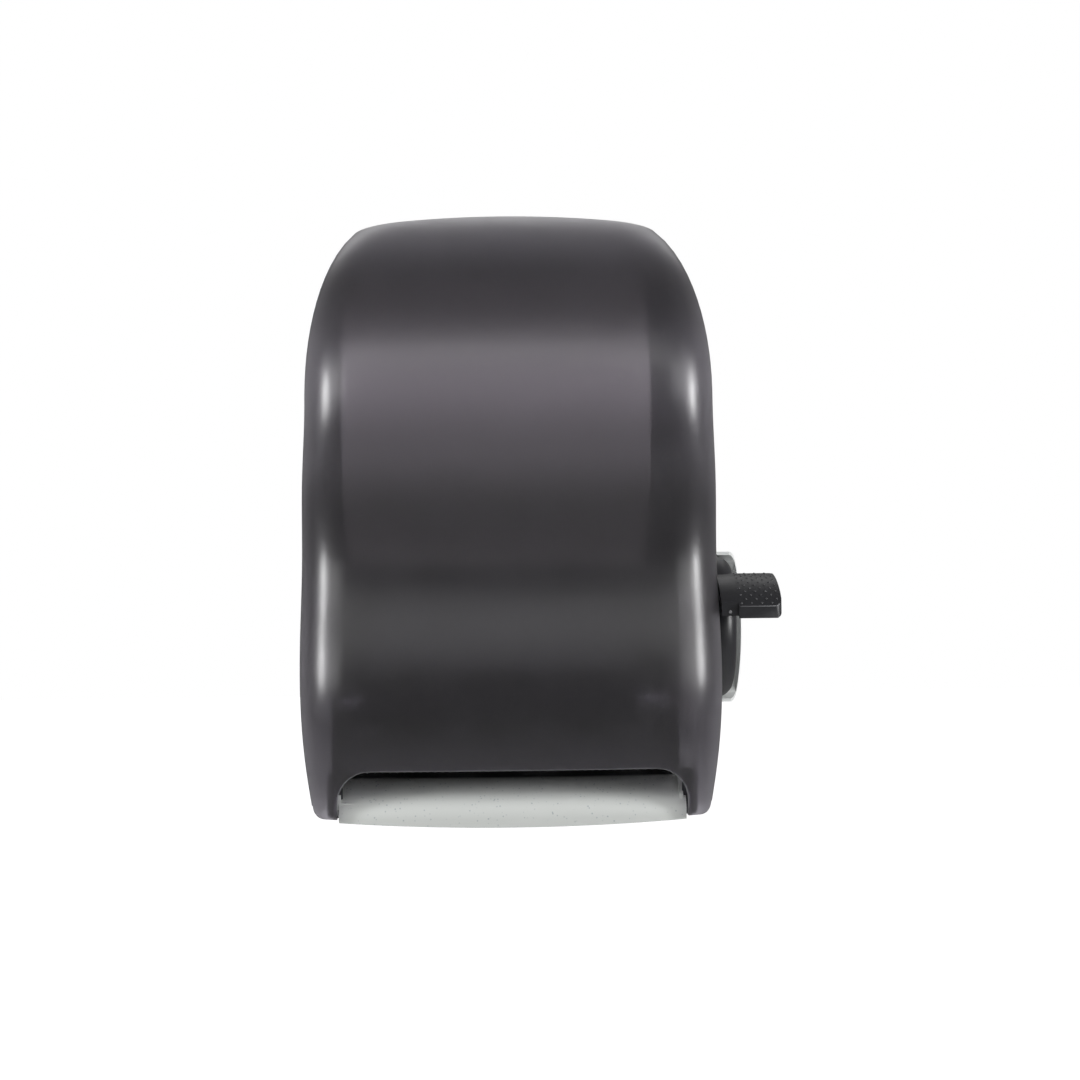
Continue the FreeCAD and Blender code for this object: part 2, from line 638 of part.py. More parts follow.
def chute_apron():
    """Bowed chute and front lip, turned about a far upright axis, with end cheeks."""
    far = (d.apron_half ** 2 + d.apron_bow ** 2) / (2 * d.apron_bow)
    wall = d.apron_wall
    front = works_front
    outline = rounded([(57 - front, -167, 0), (27 - front, -179, 30), (-front, -195, 14),
                       (2 - front, -213, 0), (2 - front + wall, -213, 0),
                       (wall - front, -195 - wall / 2, 14 - wall),
                       (28 - front, -179 - wall, 30 - wall), (58 - front, -167 - wall, 0)])
    body = new_body("chute_apron")
    sketch = draw(body, "YZ_Plane", outline)
    axis = Part.LineSegment(Vector(far - front, -230, 0), Vector(far - front, -150, 0))
    sketch.addGeometry(axis, True)
    feature = body.newObject("PartDesign::Revolution", "chute_turn")
    feature.Profile = sketch
    feature.ReferenceAxis = (sketch, ["Axis0"])
    feature.Angle = 2 * math.degrees(math.asin((d.apron_half + 8) / (far - 57)))
    feature.Midplane = True
    body.Tip = feature
    doc.recompute()
    for side in (-1, 1):
        edge = [(side * d.apron_half, -240, 0), (side * (d.apron_half + 60), -240, 0),
                (side * (d.apron_half + 60), -150, 0), (side * d.apron_half, -150, 0)]
        pocket(body, "XZ_Plane", rounded(edge), "cover_depth", "60")
    sag = d.apron_bottom
    lift = d.apron_sag
    wide = d.apron_half + 20
    arc = Part.Arc(Vector(-wide, sag + lift * 1.35, 0), Vector(0, sag, 0),
                   Vector(wide, sag + lift * 1.35, 0))
    under = [arc,
             Part.LineSegment(Vector(wide, sag + lift * 1.35, 0), Vector(wide, sag - 20, 0)),
             Part.LineSegment(Vector(wide, sag - 20, 0), Vector(-wide, sag - 20, 0)),
             Part.LineSegment(Vector(-wide, sag - 20, 0), Vector(-wide, sag + lift * 1.35, 0))]
    pocket(body, "XZ_Plane", under, "cover_depth", "60")
    cheek = [(-d.plate_wall, d.cheek_bottom, 0), (-d.plate_wall, -186, 0), (85 - front, -186, 6),
             (57 - front, -170, 0), (29 - front, -182, 4), (16 - front, -189.5, 2),
             (16 - front, d.cheek_bottom + 6, 3), (27 - front, d.cheek_bottom, 5)]
    pad(body, "YZ_Plane", rounded(cheek), "apron_wall", "left_frame_x + frame_wall")
    pad(body, "YZ_Plane", rounded(cheek), "apron_wall", "right_frame_x + frame_wall")
    flange = [(frame_left_in, d.cheek_bottom, 0), (d.right_frame_x, d.cheek_bottom, 0),
              (d.right_frame_x, -186, 0), (frame_left_in, -186, 0)]
    pad(body, "XZ_Plane", rounded(flange), "apron_wall", "plate_wall")
    return keep(body, "chute_apron")


def front_rail():
    """Folded rail between the frames that carries the tear bar."""
    rail = new_body("front_rail")
    front = works_front
    outline = [(29 - front, -150, 0), (17 - front, -150, 1.8), (11.6 - front, -166.2, 0),
               (13.5 - front, -166.8, 0), (18.4 - front, -151.8, 0), (29 - front, -151.8, 0)]
    pad(rail, "YZ_Plane", rounded(outline), "right_frame_x - left_frame_x - frame_wall",
        "left_frame_x + frame_wall")
    return keep(rail, "front_rail")


def tear_bar():
    """Serrated steel strip screwed to the rail's slanting web."""
    bar = new_body("tear_bar")
    length = d.right_frame_x - frame_left_in - 6
    teeth = 44
    pitch = length / teeth
    points = [(0, 12, 0), (length, 12, 0)]
    for tooth in range(teeth, 0, -1):
        points.append((tooth * pitch, 0, 0))
        points.append(((tooth - 0.5) * pitch, -2.6, 0))
    points.append((0, 0, 0))
    pad(bar, "XZ_Plane", rounded(points), "0.9")
    slant = math.degrees(math.atan2(5.4, 16.2))
    bar.Placement = Placement(Vector(frame_left_in + 3, 10 - works_front, -170.95),
                              Rotation(Vector(1, 0, 0), -slant))
    return keep(bar, "tear_bar")


# ---------------------------------------------------------------- gears

def involute(base_radius, radius):
    """Polar angle of the involute of the base circle at a radius."""
    if radius <= base_radius:
        return 0.0
    ratio = math.sqrt((radius / base_radius) ** 2 - 1)
    return ratio - math.atan(ratio)


def gear_outline(teeth, kept, addendum, dedendum, thinning, middle):
    """Outline of a gear or part of one, centred on an angle; each flank is an arc through
    three points of its involute."""
    pitch_radius = d.gear_module * teeth / 2
    base = pitch_radius * math.cos(math.radians(20))
    tip = pitch_radius + addendum
    root = pitch_radius - dedendum
    half_tooth = math.pi / (2 * teeth) - thinning / (2 * pitch_radius)
    start_radius = max(root, base)
    radii = [start_radius + (tip - start_radius) * step / 2 for step in range(3)]
    zero = involute(base, pitch_radius)
    curves = []

    def at(radius, angle):
        return Vector(radius * math.cos(angle), radius * math.sin(angle), 0)

    first = None
    last = None
    for tooth in range(kept):
        centre = middle + (tooth - (kept - 1) / 2) * 2 * math.pi / teeth
        rising = [at(r, centre - half_tooth - zero + involute(base, r)) for r in radii]
        falling = [at(r, centre + half_tooth + zero - involute(base, r)) for r in radii][::-1]
        foot_in = at(root, centre - half_tooth - zero)
        foot_out = at(root, centre + half_tooth + zero)
        if last is not None:
            curves.append(Part.LineSegment(last, foot_in))
        if foot_in.distanceToPoint(rising[0]) > 1e-4:
            curves.append(Part.LineSegment(foot_in, rising[0]))
        for flank in (rising, falling):
            curves.append(Part.Arc(*flank))
            if flank is rising:
                curves.append(Part.LineSegment(rising[-1], falling[0]))
        if foot_out.distanceToPoint(falling[-1]) > 1e-4:
            curves.append(Part.LineSegment(falling[-1], foot_out))
        first = first or foot_in
        last = foot_out
    return curves, first, last


def sector_gear():
    """Gear segment on the lever shaft: hub, lightened web and fourteen teeth."""
    kept = 14
    addendum = 0.85 * d.gear_module
    dedendum = 1.2 * d.gear_module
    pitch_radius = d.gear_module * d.sector_teeth / 2
    # Drawn about the shaft in (y, z); the teeth run from the mesh point upwards.
    mesh_direction = math.pi + mesh
    step = 2 * math.pi / d.sector_teeth
    middle = mesh_direction - (kept - 1) / 2 * step + 2 * step
    curves, first, last = gear_outline(int(d.sector_teeth), kept, addendum, dedendum, 0.22, middle)
    low = math.atan2(first.y, first.x)
    high = math.atan2(last.y, last.x)
    hub = 13
    heel = [Vector(hub * math.cos(a), hub * math.sin(a), 0)
            for a in (high + math.pi / 2.4, (high + low) / 2 + math.pi, low - math.pi / 2.4)]
    if (Vector(*heel[1][:2], 0) - (first + last) * 0.1).Length < hub:
        heel[1] = heel[1] * -1
    curves += [Part.LineSegment(last, heel[0]), Part.Arc(*heel), Part.LineSegment(heel[2], first)]
    body = new_body("sector_gear")
    pad(body, "YZ_Plane", curves, "sector_face")
    pad(body, "YZ_Plane", circle(0, 0, 11), "sector_face + 2.4", "-2.4")
    window_in, window_out = 22.0, pitch_radius - 12
    half = math.radians(25)
    window = [(window_in * math.cos(middle - half), window_in * math.sin(middle - half), 4),
              (window_out * math.cos(middle - half), window_out * math.sin(middle - half), 5),
              (1.1 * window_out * math.cos(middle), 1.1 * window_out * math.sin(middle), 16),
              (window_out * math.cos(middle + half), window_out * math.sin(middle + half), 5),
              (window_in * math.cos(middle + half), window_in * math.sin(middle + half), 4)]
    pocket(body, "YZ_Plane", rounded(window), "sector_face")
    pocket(body, "YZ_Plane", circle(0, 0, d.lever_shaft_radius), "sector_face + 4", "-3")
    place(body, "sector_x", LEVER_Y, "lever_z")
    return keep(body, "sector_gear")


def pinion_gear():
    teeth = int(d.pinion_teeth)
    towards_lever = mesh
    half_pitch = math.pi / teeth
    curves, first, last = gear_outline(teeth, teeth, 0.95 * d.gear_module, 1.15 * d.gear_module,
                                       0.22, towards_lever + half_pitch * (1 + (teeth - 1)))
    curves.append(Part.LineSegment(last, first))
    body = new_body("pinion_gear")
    pad(body, "YZ_Plane", curves, "pinion_face")
    pocket(body, "YZ_Plane", circle(0, 0, d.clutch_radius), "pinion_face")
    body.Placement = Placement(Vector(d.pinion_x, drive_y, drive_z), Rotation())
    return keep(body, "pinion_gear")


# ---------------------------------------------------------------- drive train

def drive_pieces():
    at_drive = Placement(Vector(0, drive_y, drive_z), Rotation())
    shaft_left = d.left_frame_x - 4
    seat = d.pinion_x - 0.5
    shaft = turned("drive_shaft", [
        (shaft_left, 0), (shaft_left, d.drive_shaft_radius - 0.6),
        (shaft_left + 0.6, d.drive_shaft_radius), (seat, d.drive_shaft_radius),
        (seat, d.clutch_seat_radius), (d.pinion_x + d.pinion_face + 3, d.clutch_seat_radius),
        (d.pinion_x + d.pinion_face + 3, 0)])
    core = turned("drive_roller_core", [
        (d.roller_left, d.drive_shaft_radius), (d.roller_left, d.core_radius),
        (d.roller_right, d.core_radius), (d.roller_right, d.drive_shaft_radius),
        (d.roller_right - 4, d.drive_shaft_radius), (d.roller_right - 4, d.core_radius - 2.5),
        (d.roller_left + 4, d.core_radius - 2.5), (d.roller_left + 4, d.drive_shaft_radius)])
    sleeves = []
    for number, start in enumerate(sleeve_starts()):
        end = start + d.sleeve_width
        sleeve = turned(f"drive_sleeve_{number + 1}", [
            (start, d.core_radius), (start, d.drive_radius - 0.8),
            (start + 0.8, d.drive_radius), (end - 0.8, d.drive_radius),
            (end, d.drive_radius - 0.8), (end, d.core_radius)])
        sleeve.Placement = at_drive
        sleeves.append(sleeve)
    for body in (shaft, core):
        body.Placement = at_drive
        keep(body, body.Name)
    keep(group("drive_sleeves", *sleeves), "drive_sleeves")
    clutch_start = d.pinion_x + 1
    clutch = turned("one_way_clutch", [
        (clutch_start, d.clutch_seat_radius), (clutch_start, d.clutch_radius),
        (clutch_start + d.pinion_face - 2, d.clutch_radius),
        (clutch_start + d.pinion_face - 2, d.clutch_seat_radius)])
    clutch.Placement = at_drive
    keep(clutch, "one_way_clutch")
    clip_x = d.pinion_x + d.pinion_face + 0.6
    clips = []
    for name, start, radius in (("drive_clip_right", clip_x, d.clutch_seat_radius),
                                ("drive_clip_left", shaft_left + 1.2, d.drive_shaft_radius)):
        clip = turned(name, [(start, radius), (start, radius + 2.5),
                             (start + 0.9, radius + 2.5), (start + 0.9, radius)])
        clip.Placement = at_drive
        clips.append(clip)
    keep(group("drive_clips", *clips), "drive_clips")


def sleeve_starts():
    """Left ends of the three rubber sleeves, spread evenly along the roller."""
    spare = (d.roller_right - d.roller_left - 3 * d.sleeve_width) / 4
    return [d.roller_left + spare + k * (d.sleeve_width + spare) for k in range(3)]


def flanged_bush(name, bore, start, face_side, y, z):
    """Bush pressed in a frame, with its flange on the given side of it."""
    outer = bore + d.bush_wall
    inner = bore + d.pin_play
    wall = d.frame_wall
    flange = d.bush_flange
    tail = 1.5
    if face_side > 0:
        points = [(-tail, inner), (-tail, outer), (wall, outer), (wall, outer + 2.5),
                  (wall + flange, outer + 2.5), (wall + flange, inner)]
    else:
        points = [(-flange, inner), (-flange, outer + 2.5), (0, outer + 2.5), (0, outer),
                  (wall + tail, outer), (wall + tail, inner)]
    bush = turned(name, points)
    bush.Placement = Placement(Vector(start, y, z), Rotation())
    return bush


def bushes():
    left = flanged_bush("drive_bush_left", d.drive_shaft_radius, d.left_frame_x, 1,
                        drive_y, drive_z)
    right = flanged_bush("drive_bush_right", d.drive_shaft_radius, d.right_frame_x, -1,
                         drive_y, drive_z)
    keep(group("roller_bushes", left, right), "roller_bushes")
    inner = flanged_bush("lever_bush_inner", d.lever_shaft_radius, d.right_frame_x, -1,
                         lever_y, d.lever_z)
    keep(inner, "lever_bush_inner")
    outer_x = panel_x - 4
    outer_radius = d.lever_shaft_radius + d.bush_wall
    outer = turned("lever_bush_outer", [
        (-1.2, d.lever_shaft_radius + d.pin_play), (-1.2, outer_radius + 2.2), (0, outer_radius + 2.2),
        (0, outer_radius), (4 + d.panel_wall, outer_radius),
        (4 + d.panel_wall, d.lever_shaft_radius + d.pin_play)])
    outer.Placement = Placement(Vector(outer_x, lever_y, d.lever_z), Rotation())
    keep(outer, "lever_bush_outer")


def pinch_pieces():
    left = d.roller_left - 8
    right = d.roller_right + 8
    frame = new_body("pinch_frame")
    shaft_radius = d.pinch_shaft_radius
    cheek = [(pivot_y + 8, pivot_z - 5, 4), (pivot_y + 8, pivot_z + 6, 5),
             (pinch_y + 2, pinch_z + 7, 5), (pinch_y - 7, pinch_z + 1, 5), (pinch_y - 5, pinch_z - 6, 5),
             (pivot_y - 4, pivot_z - 8, 4)]
    for start in (left, right - d.cheek_wall):
        pad(frame, "YZ_Plane", rounded(cheek), "cheek_wall", str(start))
    web = [(pivot_y - 6, pivot_z - 4, 0.8), (pivot_y - 6, pivot_z + 5, 0.8),
           (pivot_y - 9, pivot_z + 5, 0.8), (pivot_y - 9, pivot_z - 4, 0.8)]
    pad(frame, "YZ_Plane", rounded(web), str(right - left - 2 * d.cheek_wall),
        str(left + d.cheek_wall))
    pocket(frame, "YZ_Plane", circle(pivot_y, pivot_z, d.rod_radius + d.pin_play),
           str(right - left + 2), str(left - 1))
    pocket(frame, "YZ_Plane", circle(pinch_y, pinch_z, shaft_radius + d.pin_play),
           str(right - left + 2), str(left - 1))
    keep(frame, "pinch_frame")
    at_pinch = Placement(Vector(0, pinch_y, pinch_z), Rotation())
    shaft = turned("pinch_shaft", [
        (left - 2, 0), (left - 2, shaft_radius), (right + 2, shaft_radius), (right + 2, 0)])
    shaft.Placement = at_pinch
    keep(shaft, "pinch_shaft")
    wheels = []
    for number, start in enumerate(sleeve_starts()):
        near = start + (d.sleeve_width - d.pinch_wheel_width) / 2
        far = near + d.pinch_wheel_width
        wheel = turned(f"pinch_wheel_{number + 1}", [
            (near, shaft_radius), (near, d.pinch_radius - 1), (near + 1, d.pinch_radius),
            (far - 1, d.pinch_radius), (far, d.pinch_radius - 1), (far, shaft_radius)])
        wheel.Placement = at_pinch
        wheels.append(wheel)
    keep(group("pinch_wheels", *wheels), "pinch_wheels")
    keep(rod("pinch_rod", "rod_radius", "left_frame_x - 2",
             "right_frame_x - left_frame_x + frame_wall + 4", str(pivot_y), str(pivot_z)),
         "pinch_rod")
    springs = [coil("pinch_spring_left", left + d.cheek_wall + 1, 12, 4.6, 0.7, 4,
                    pivot_y, pivot_z),
               coil("pinch_spring_right", right - d.cheek_wall - 13, 12, 4.6, 0.7, 4,
                    pivot_y, pivot_z)]
    keep(group("pinch_springs", *springs), "pinch_springs")


def coil(name, start, length, radius, wire, turns, y, z):
    """Torsion spring about an axis along X: short straight runs of six-sided wire."""
    steps = 12
    runs = int(steps * turns)
    path = [Vector(radius * math.cos(2 * math.pi * k / steps),
                   radius * math.sin(2 * math.pi * k / steps), length * k / runs)
            for k in range(runs + 1)]
    along = (path[1] - path[0]).normalize()
    side = along.cross(Vector(1, 0, 0)).normalize()
    up = side.cross(along)
    ring = [path[0] + side * wire * math.cos(math.radians(60 * k))
            + up * wire * math.sin(math.radians(60 * k)) for k in range(6)]
    profile = Part.makePolygon(ring + ring[:1])
    sweep = Part.BRepOffsetAPI.MakePipeShell(Part.makePolygon(path))
    sweep.setTransitionMode(1)
    sweep.setFrenetMode(False)
    sweep.add(profile, False, False)
    sweep.build()
    sweep.makeSolid()
    item = feature_from(name, sweep.shape())
    item.Placement = Placement(Vector(start, y, z), ALONG_X)
    return item


# ---------------------------------------------------------------- lever side

def gear_housing():
    """Side panel flush with the cover, standing on posts, with a guard round the lever hub."""
    housing = new_body("gear_housing")
    pad(housing, "YZ_Plane", housing_outline(0), "panel_wall", PANEL_X)
    frame_out = "right_frame_x + frame_wall"
    for y, z in housing_posts():
        pad(housing, "YZ_Plane", circle(y, z, 4.5), f"{PANEL_X} - ({frame_out}) + 0.5", frame_out)
    pad(housing, "YZ_Plane", circle(lever_y, d.lever_z, d.lever_shaft_radius + d.bush_wall + 3),
        "4.5", PANEL_X + " - 4")
    lever_guard(housing)
    pocket(housing, "YZ_Plane", circle(lever_y, d.lever_z, d.lever_shaft_radius + d.bush_wall),
           "panel_wall + 6", PANEL_X + " - 5")
    for y, z in housing_posts():
        pocket(housing, "YZ_Plane", circle(y, z, 1.5), "14", frame_out)
    return keep(housing, "gear_housing")


def housing_posts():
    """Post centres, inside the panel and clear of the gear segment's sweep."""
    return [(-16, d.lever_z + 20), (-16, d.lever_z - 22), (lever_y + 33, d.lever_z + 21),
            (lever_y - 12, d.lever_z + 24.5)]


def lever_guard(housing):
    """Raised rim round the rear half of the lever hub, lower towards the front."""
    outer = d.housing_radius
    inner = outer - d.guard_wall
    top = d.cover_half + d.guard_rise
    slope = d.guard_slope
    profile = [(panel_x, outer), (top - slope, outer), (top, outer - slope),
               (top, outer - slope - d.guard_wall), (top - slope, inner), (panel_x, inner)]
    sketch = draw(housing, "XY_Plane",
                  rounded([(x, lever_y + radius, 0) for x, radius in profile]), "lever_z")
    sketch.addGeometry(Part.LineSegment(Vector(panel_x, lever_y, 0), Vector(top, lever_y, 0)), True)
    feature = housing.newObject("PartDesign::Revolution", "guard_turn")
    feature.Profile = sketch
    feature.ReferenceAxis = (sketch, ["Axis0"])
    feature.Angle = 180
    feature.Midplane = True
    housing.Tip = feature
    doc.recompute()
    above = [(top + 1, lever_y + outer, 0), (top, lever_y + outer, 0),
             (top - d.guard_drop, lever_y, 0), (top - d.guard_drop, lever_y - 5, 0),
             (top + 1, lever_y - 5, 0)]
    pocket(housing, "XY_Plane", rounded(above), "2 * housing_radius + 4",
           "lever_z - housing_radius - 2")


def lever():
    """Domed hub shell, with the arm and the wide finger paddle in front of it."""
    body = new_body("lever")
    hub = d.hub_rise - d.hub_gap
    wall = 2.6
    arc_in = d.hub_radius - d.hub_round
    bend = d.hub_round * math.sqrt(0.5)
    outline = [
        Part.LineSegment(Vector(0, d.hub_radius, 0), Vector(hub - d.hub_round, d.hub_radius, 0)),
        Part.Arc(Vector(hub - d.hub_round, d.hub_radius, 0),
                 Vector(hub - d.hub_round + bend, arc_in + bend, 0), Vector(hub, arc_in, 0)),
        Part.LineSegment(Vector(hub, arc_in, 0), Vector(hub + d.dome_rise, 0, 0)),
        Part.LineSegment(Vector(hub + d.dome_rise, 0, 0), Vector(0, 0, 0)),
        Part.LineSegment(Vector(0, 0, 0), Vector(0, 13, 0)),
        Part.LineSegment(Vector(0, 13, 0), Vector(hub - wall, 13, 0)),
        Part.LineSegment(Vector(hub - wall, 13, 0), Vector(hub - wall, arc_in - 2, 0)),
        Part.LineSegment(Vector(hub - wall, arc_in - 2, 0), Vector(0, d.hub_radius - wall, 0)),
        Part.LineSegment(Vector(0, d.hub_radius - wall, 0), Vector(0, d.hub_radius, 0)),
    ]
    feature = body.newObject("PartDesign::Revolution", "lever_hub")
    sketch = draw(body, "XY_Plane", outline)
    feature.Profile = sketch
    feature.ReferenceAxis = (sketch, ["H_Axis"])
    feature.Angle = 360
    body.Tip = feature
    doc.recompute()
    low_front = 14.5 - d.paddle_thick
    paddle = [Part.Arc(Vector(-24, 37, 0), Vector(-53.5, 30.3, 0), Vector(-77.5, 14.5, 0)),
              Part.LineSegment(Vector(-77.5, 14.5, 0), Vector(-77, low_front, 0)),
              Part.Arc(Vector(-77, low_front, 0), Vector(-61.5, 16, 0), Vector(-43, 21.5, 0)),
              Part.LineSegment(Vector(-43, 21.5, 0), Vector(-24, 29, 0)),
              Part.LineSegment(Vector(-24, 29, 0), Vector(-24, 37, 0))]
    pad(body, "YZ_Plane", paddle, "paddle_rise - hub_gap - 1", "1")
    tip = d.paddle_rise - d.hub_gap
    beyond = tip + 20
    corner = [(hub + 1, -24.5, 0), (tip - 1.2, -24.5, d.paddle_round), (tip, -66, 0),
              (tip, -77.6, d.paddle_round), (tip - 12, -78, 0), (tip - 12, -90, 0),
              (beyond, -90, 0), (beyond, -10, 0), (hub + 1, -10, 0)]
    pocket(body, "XY_Plane", rounded(corner), "100", "-40")
    arm = [(-5, -95, 0), (-5, d.arm_back - 78, 0), (d.paddle_start - 1, d.arm_back - 78, 0),
           (d.paddle_start, -95, 0)]
    pocket(body, "XY_Plane", rounded(arm), "100", "-40")
    pocket(body, "YZ_Plane", circle(0, 0, d.lever_shaft_radius), "hub_rise - hub_gap - 3")
    pocket(body, "YZ_Plane", circle(0, 0, 2), "hub_rise - hub_gap")
    pocket(body, "YZ_Plane", circle(0, 0, 5), "5", "hub_rise - hub_gap - 2")
    place(body, HUB_X, LEVER_Y, "lever_z")
    return keep(body, "lever")


def lever_shaft_pieces():
    start = d.right_frame_x - d.bush_flange - 3
    end = hub_face_x - 3
    shaft = turned("lever_shaft", [
        (start, 0), (start, d.lever_shaft_radius - 0.8), (start + 0.8, d.lever_shaft_radius),
        (end, d.lever_shaft_radius), (end, 1.6), (end - 10, 1.6), (end - 10, 0)],
        LEVER_Y, "lever_z")
    keep(shaft, "lever_shaft")
    clip = turned("lever_clip", [
        (start + 1.5, d.lever_shaft_radius), (start + 1.5, d.lever_shaft_radius + 3),
        (start + 2.4, d.lever_shaft_radius + 3), (start + 2.4, d.lever_shaft_radius)],
        LEVER_Y, "lever_z")
    keep(clip, "lever_clip")
    screw = turned("lever_screw", [
        (end - 9.5, 0), (end - 9.5, 1.6), (end + 1, 1.6), (end + 1, 4.6), (end + 2.6, 4.6),
        (end + 3, 3.6), (end + 3, 1.6), (end + 2, 0)], LEVER_Y, "lever_z")
    keep(screw, "lever_screw")
    spring_start = d.sector_x + d.sector_face + 0.8
    room = panel_x - 5.5 - spring_start
    keep(coil("lever_return_spring_form", spring_start + 1.2, room - 2.4, 10, 1.1, 4,
              lever_y, d.lever_z), "lever_return_spring")
    stop = rod("lever_stop_form", "5", "right_frame_x + frame_wall", "sector_face + 5",
               LEVER_Y + " + 38", "lever_z - 30")
    keep(stop, "lever_stop")


# ---------------------------------------------------------------- roll and arms

def roll_pieces():
    width = d.roll_width
    core_out = d.core_bore + d.core_wall
    start = roll_left
    roll = turned("paper_roll", [
        (start, core_out), (start, roll_radius - 1), (start + 1, roll_radius),
        (start + width - 1, roll_radius), (start + width, roll_radius - 1),
        (start + width, core_out)], ROLL_Y, "roll_z")
    keep(roll, "paper_roll")
    core = turned("roll_core", [
        (start, d.core_bore), (start, core_out), (start + width, core_out),
        (start + width, d.core_bore)], ROLL_Y, "roll_z")
    keep(core, "roll_core")


def roll_arm(name, start, side):
    """Arm hinged on an upright pin at the back plate; its nose carries the roll's core."""
    arm = new_body(name)
    tall = d.arm_half_height - 1
    end = d.arm_end_radius
    reach = roll_y - d.arm_pin_y
    pin_x = start + d.arm_wall / 2
    outline = rounded([(-3, -tall, 2), (-3, tall, 2), (reach * 0.45, tall - 6, 30),
                       (reach - end, end - 2, end - 5), (reach - end, -end + 2, end - 5),
                       (reach * 0.45, -tall + 6, 30)])
    pad(arm, "YZ_Plane", outline, "arm_wall", "-arm_wall / 2")
    window = rounded([(-20, -12, 6), (-20, 12, 6), (reach + end + 8, 10, 6),
                      (reach + end + 8, -10, 6)])
    pocket(arm, "YZ_Plane", window, "arm_wall", "-arm_wall / 2")
    pad(arm, "XY_Plane", circle(0, 0, d.arm_barrel_radius), "2 * arm_half_height",
        "-arm_half_height")
    pocket(arm, "XY_Plane", circle(0, 0, d.arm_pin_radius + d.pin_play),
           "2 * arm_half_height + 2", "-arm_half_height - 1")
    arm.Placement = Placement(Vector(pin_x, d.arm_pin_y, d.roll_z), Rotation())
    keep(arm, name)
    face = start + d.arm_wall if side < 0 else start
    inward = -side
    outline = [(0, 6), (0, d.nose_radius + 4), (1.2, d.nose_radius + 4), (1.6, d.nose_radius),
               (3, d.nose_radius), (d.nose_length, d.nose_tip), (d.nose_length, d.nose_tip - 2.5),
               (3.4, d.nose_tip - 1), (2.6, 6)]
    nose = turned(name.replace("arm", "hub"), [(inward * x, r) for x, r in outline])
    nose.Placement = Placement(Vector(face, roll_y, d.roll_z), Rotation())
    keep(nose, name.replace("arm", "hub"))


# ---------------------------------------------------------------- pins and screws

def pins_and_screws():
    pin_length = 14
    outer = d.cover_half - d.lip_taper - 2.9
    pins = []
    for side in (-1, 1):
        pin = rod(f"hinge_pin_{side + 2}", "hinge_pin_radius", "", str(pin_length), "hinge_y",
                  "hinge_z")
        pin.Placement.Base.x = outer - pin_length if side > 0 else -outer
        pins.append(pin)
    keep(group("hinge_pins", *pins), "hinge_pins")
    arm_pins = []
    for side in (-1, 1):
        pin = rod(f"arm_pin_{side + 2}", "arm_pin_radius", "",
                  "2 * arm_half_height + 2 * running_gap + 14", "arm_pin_y",
                  "roll_z - arm_half_height - running_gap - 7", turn=Rotation())
        pin.Placement.Base.x = arm_pin_x(side)
        arm_pins.append(pin)
    keep(group("arm_pins", *arm_pins), "arm_pins")
    screws = []
    face = -d.plate_wall - d.flange_wall
    places = [(d.left_frame_x + d.frame_wall + 6.5, z) for z in (-64, -160)]
    places += [(d.right_frame_x - 6.5, z) for z in (-64, -160)]
    for number, (x, z) in enumerate(places):
        screw = turned(f"frame_screw_{number + 1}", [
            (0, 0), (0, 3.6), (1.2, 3.6), (2.2, 2.2), (2.2, 0)], turn=Rotation(Vector(0, 0, 1), -90))
        screw.Placement.Base = Vector(x, face, z)
        screws.append(screw)
    keep(group("frame_screws", *screws), "frame_screws")
    screws = []
    for number, (y, z) in enumerate(housing_posts()):
        screw = turned(f"housing_screw_{number + 1}", [
            (-2, 0), (-2, 2.6), (-1, 3.2), (0, 3.2), (0, 0)])
        screw.Placement = Placement(Vector(d.right_frame_x, y, z), Rotation())
        screws.append(screw)
    keep(group("housing_screws", *screws), "housing_screws")


# ---------------------------------------------------------------- build

front_cover()
lock_pieces()
chassis_back()
side_frame("side_frame_left", "left_frame_x", d.left_frame_x, False)
side_frame("side_frame_right", "right_frame_x",
           d.right_frame_x - d.flange_width, True)
chute_apron()
front_rail()
tear_bar()
sector_gear()
pinion_gear()
drive_pieces()
bushes()
pinch_pieces()
gear_housing()
lever()
lever_shaft_pieces()
roll_pieces()
roll_arm("roll_arm_left", left_arm_x, -1)
roll_arm("roll_arm_right", right_arm_x, 1)
pins_and_screws()
doc.recompute()

for item in doc.Objects:
    if "Invalid" in item.State or "Error" in item.State:
        raise RuntimeError(f"{item.Name} did not build: {item.State}")
for item in parts:
    if item.Shape.isNull() or not item.Shape.isValid() or not item.Shape.Solids:
        raise RuntimeError(f"{item.Label} has no valid solid")
for item in parts:
    item.Shape.exportStep(f"parts/{item.Label}.step")
print(len(parts), "pieces written")
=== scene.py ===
import json
import math

import bmesh
import bpy
import numpy
from mathutils import Matrix, Vector


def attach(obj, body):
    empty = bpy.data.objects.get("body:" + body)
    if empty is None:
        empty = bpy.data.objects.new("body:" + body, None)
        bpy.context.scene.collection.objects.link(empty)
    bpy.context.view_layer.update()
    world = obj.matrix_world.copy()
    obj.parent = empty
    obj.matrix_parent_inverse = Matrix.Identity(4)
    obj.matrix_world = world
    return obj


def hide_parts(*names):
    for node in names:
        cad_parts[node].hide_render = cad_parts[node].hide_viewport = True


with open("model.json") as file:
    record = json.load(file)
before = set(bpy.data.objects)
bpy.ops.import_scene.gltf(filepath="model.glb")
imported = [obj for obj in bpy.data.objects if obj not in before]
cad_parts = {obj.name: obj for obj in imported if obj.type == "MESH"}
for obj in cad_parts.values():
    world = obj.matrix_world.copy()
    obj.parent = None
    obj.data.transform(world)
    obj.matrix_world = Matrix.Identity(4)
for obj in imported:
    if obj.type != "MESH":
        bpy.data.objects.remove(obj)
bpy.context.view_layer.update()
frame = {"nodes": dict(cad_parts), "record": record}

# Wall-mounted lever towel dispenser: smoked cover, grey chassis, black lever.
# Metres throughout. +X right, -Y out of the wall, +Z up.

nodes = frame["nodes"]
mm = 0.001


# Small helpers

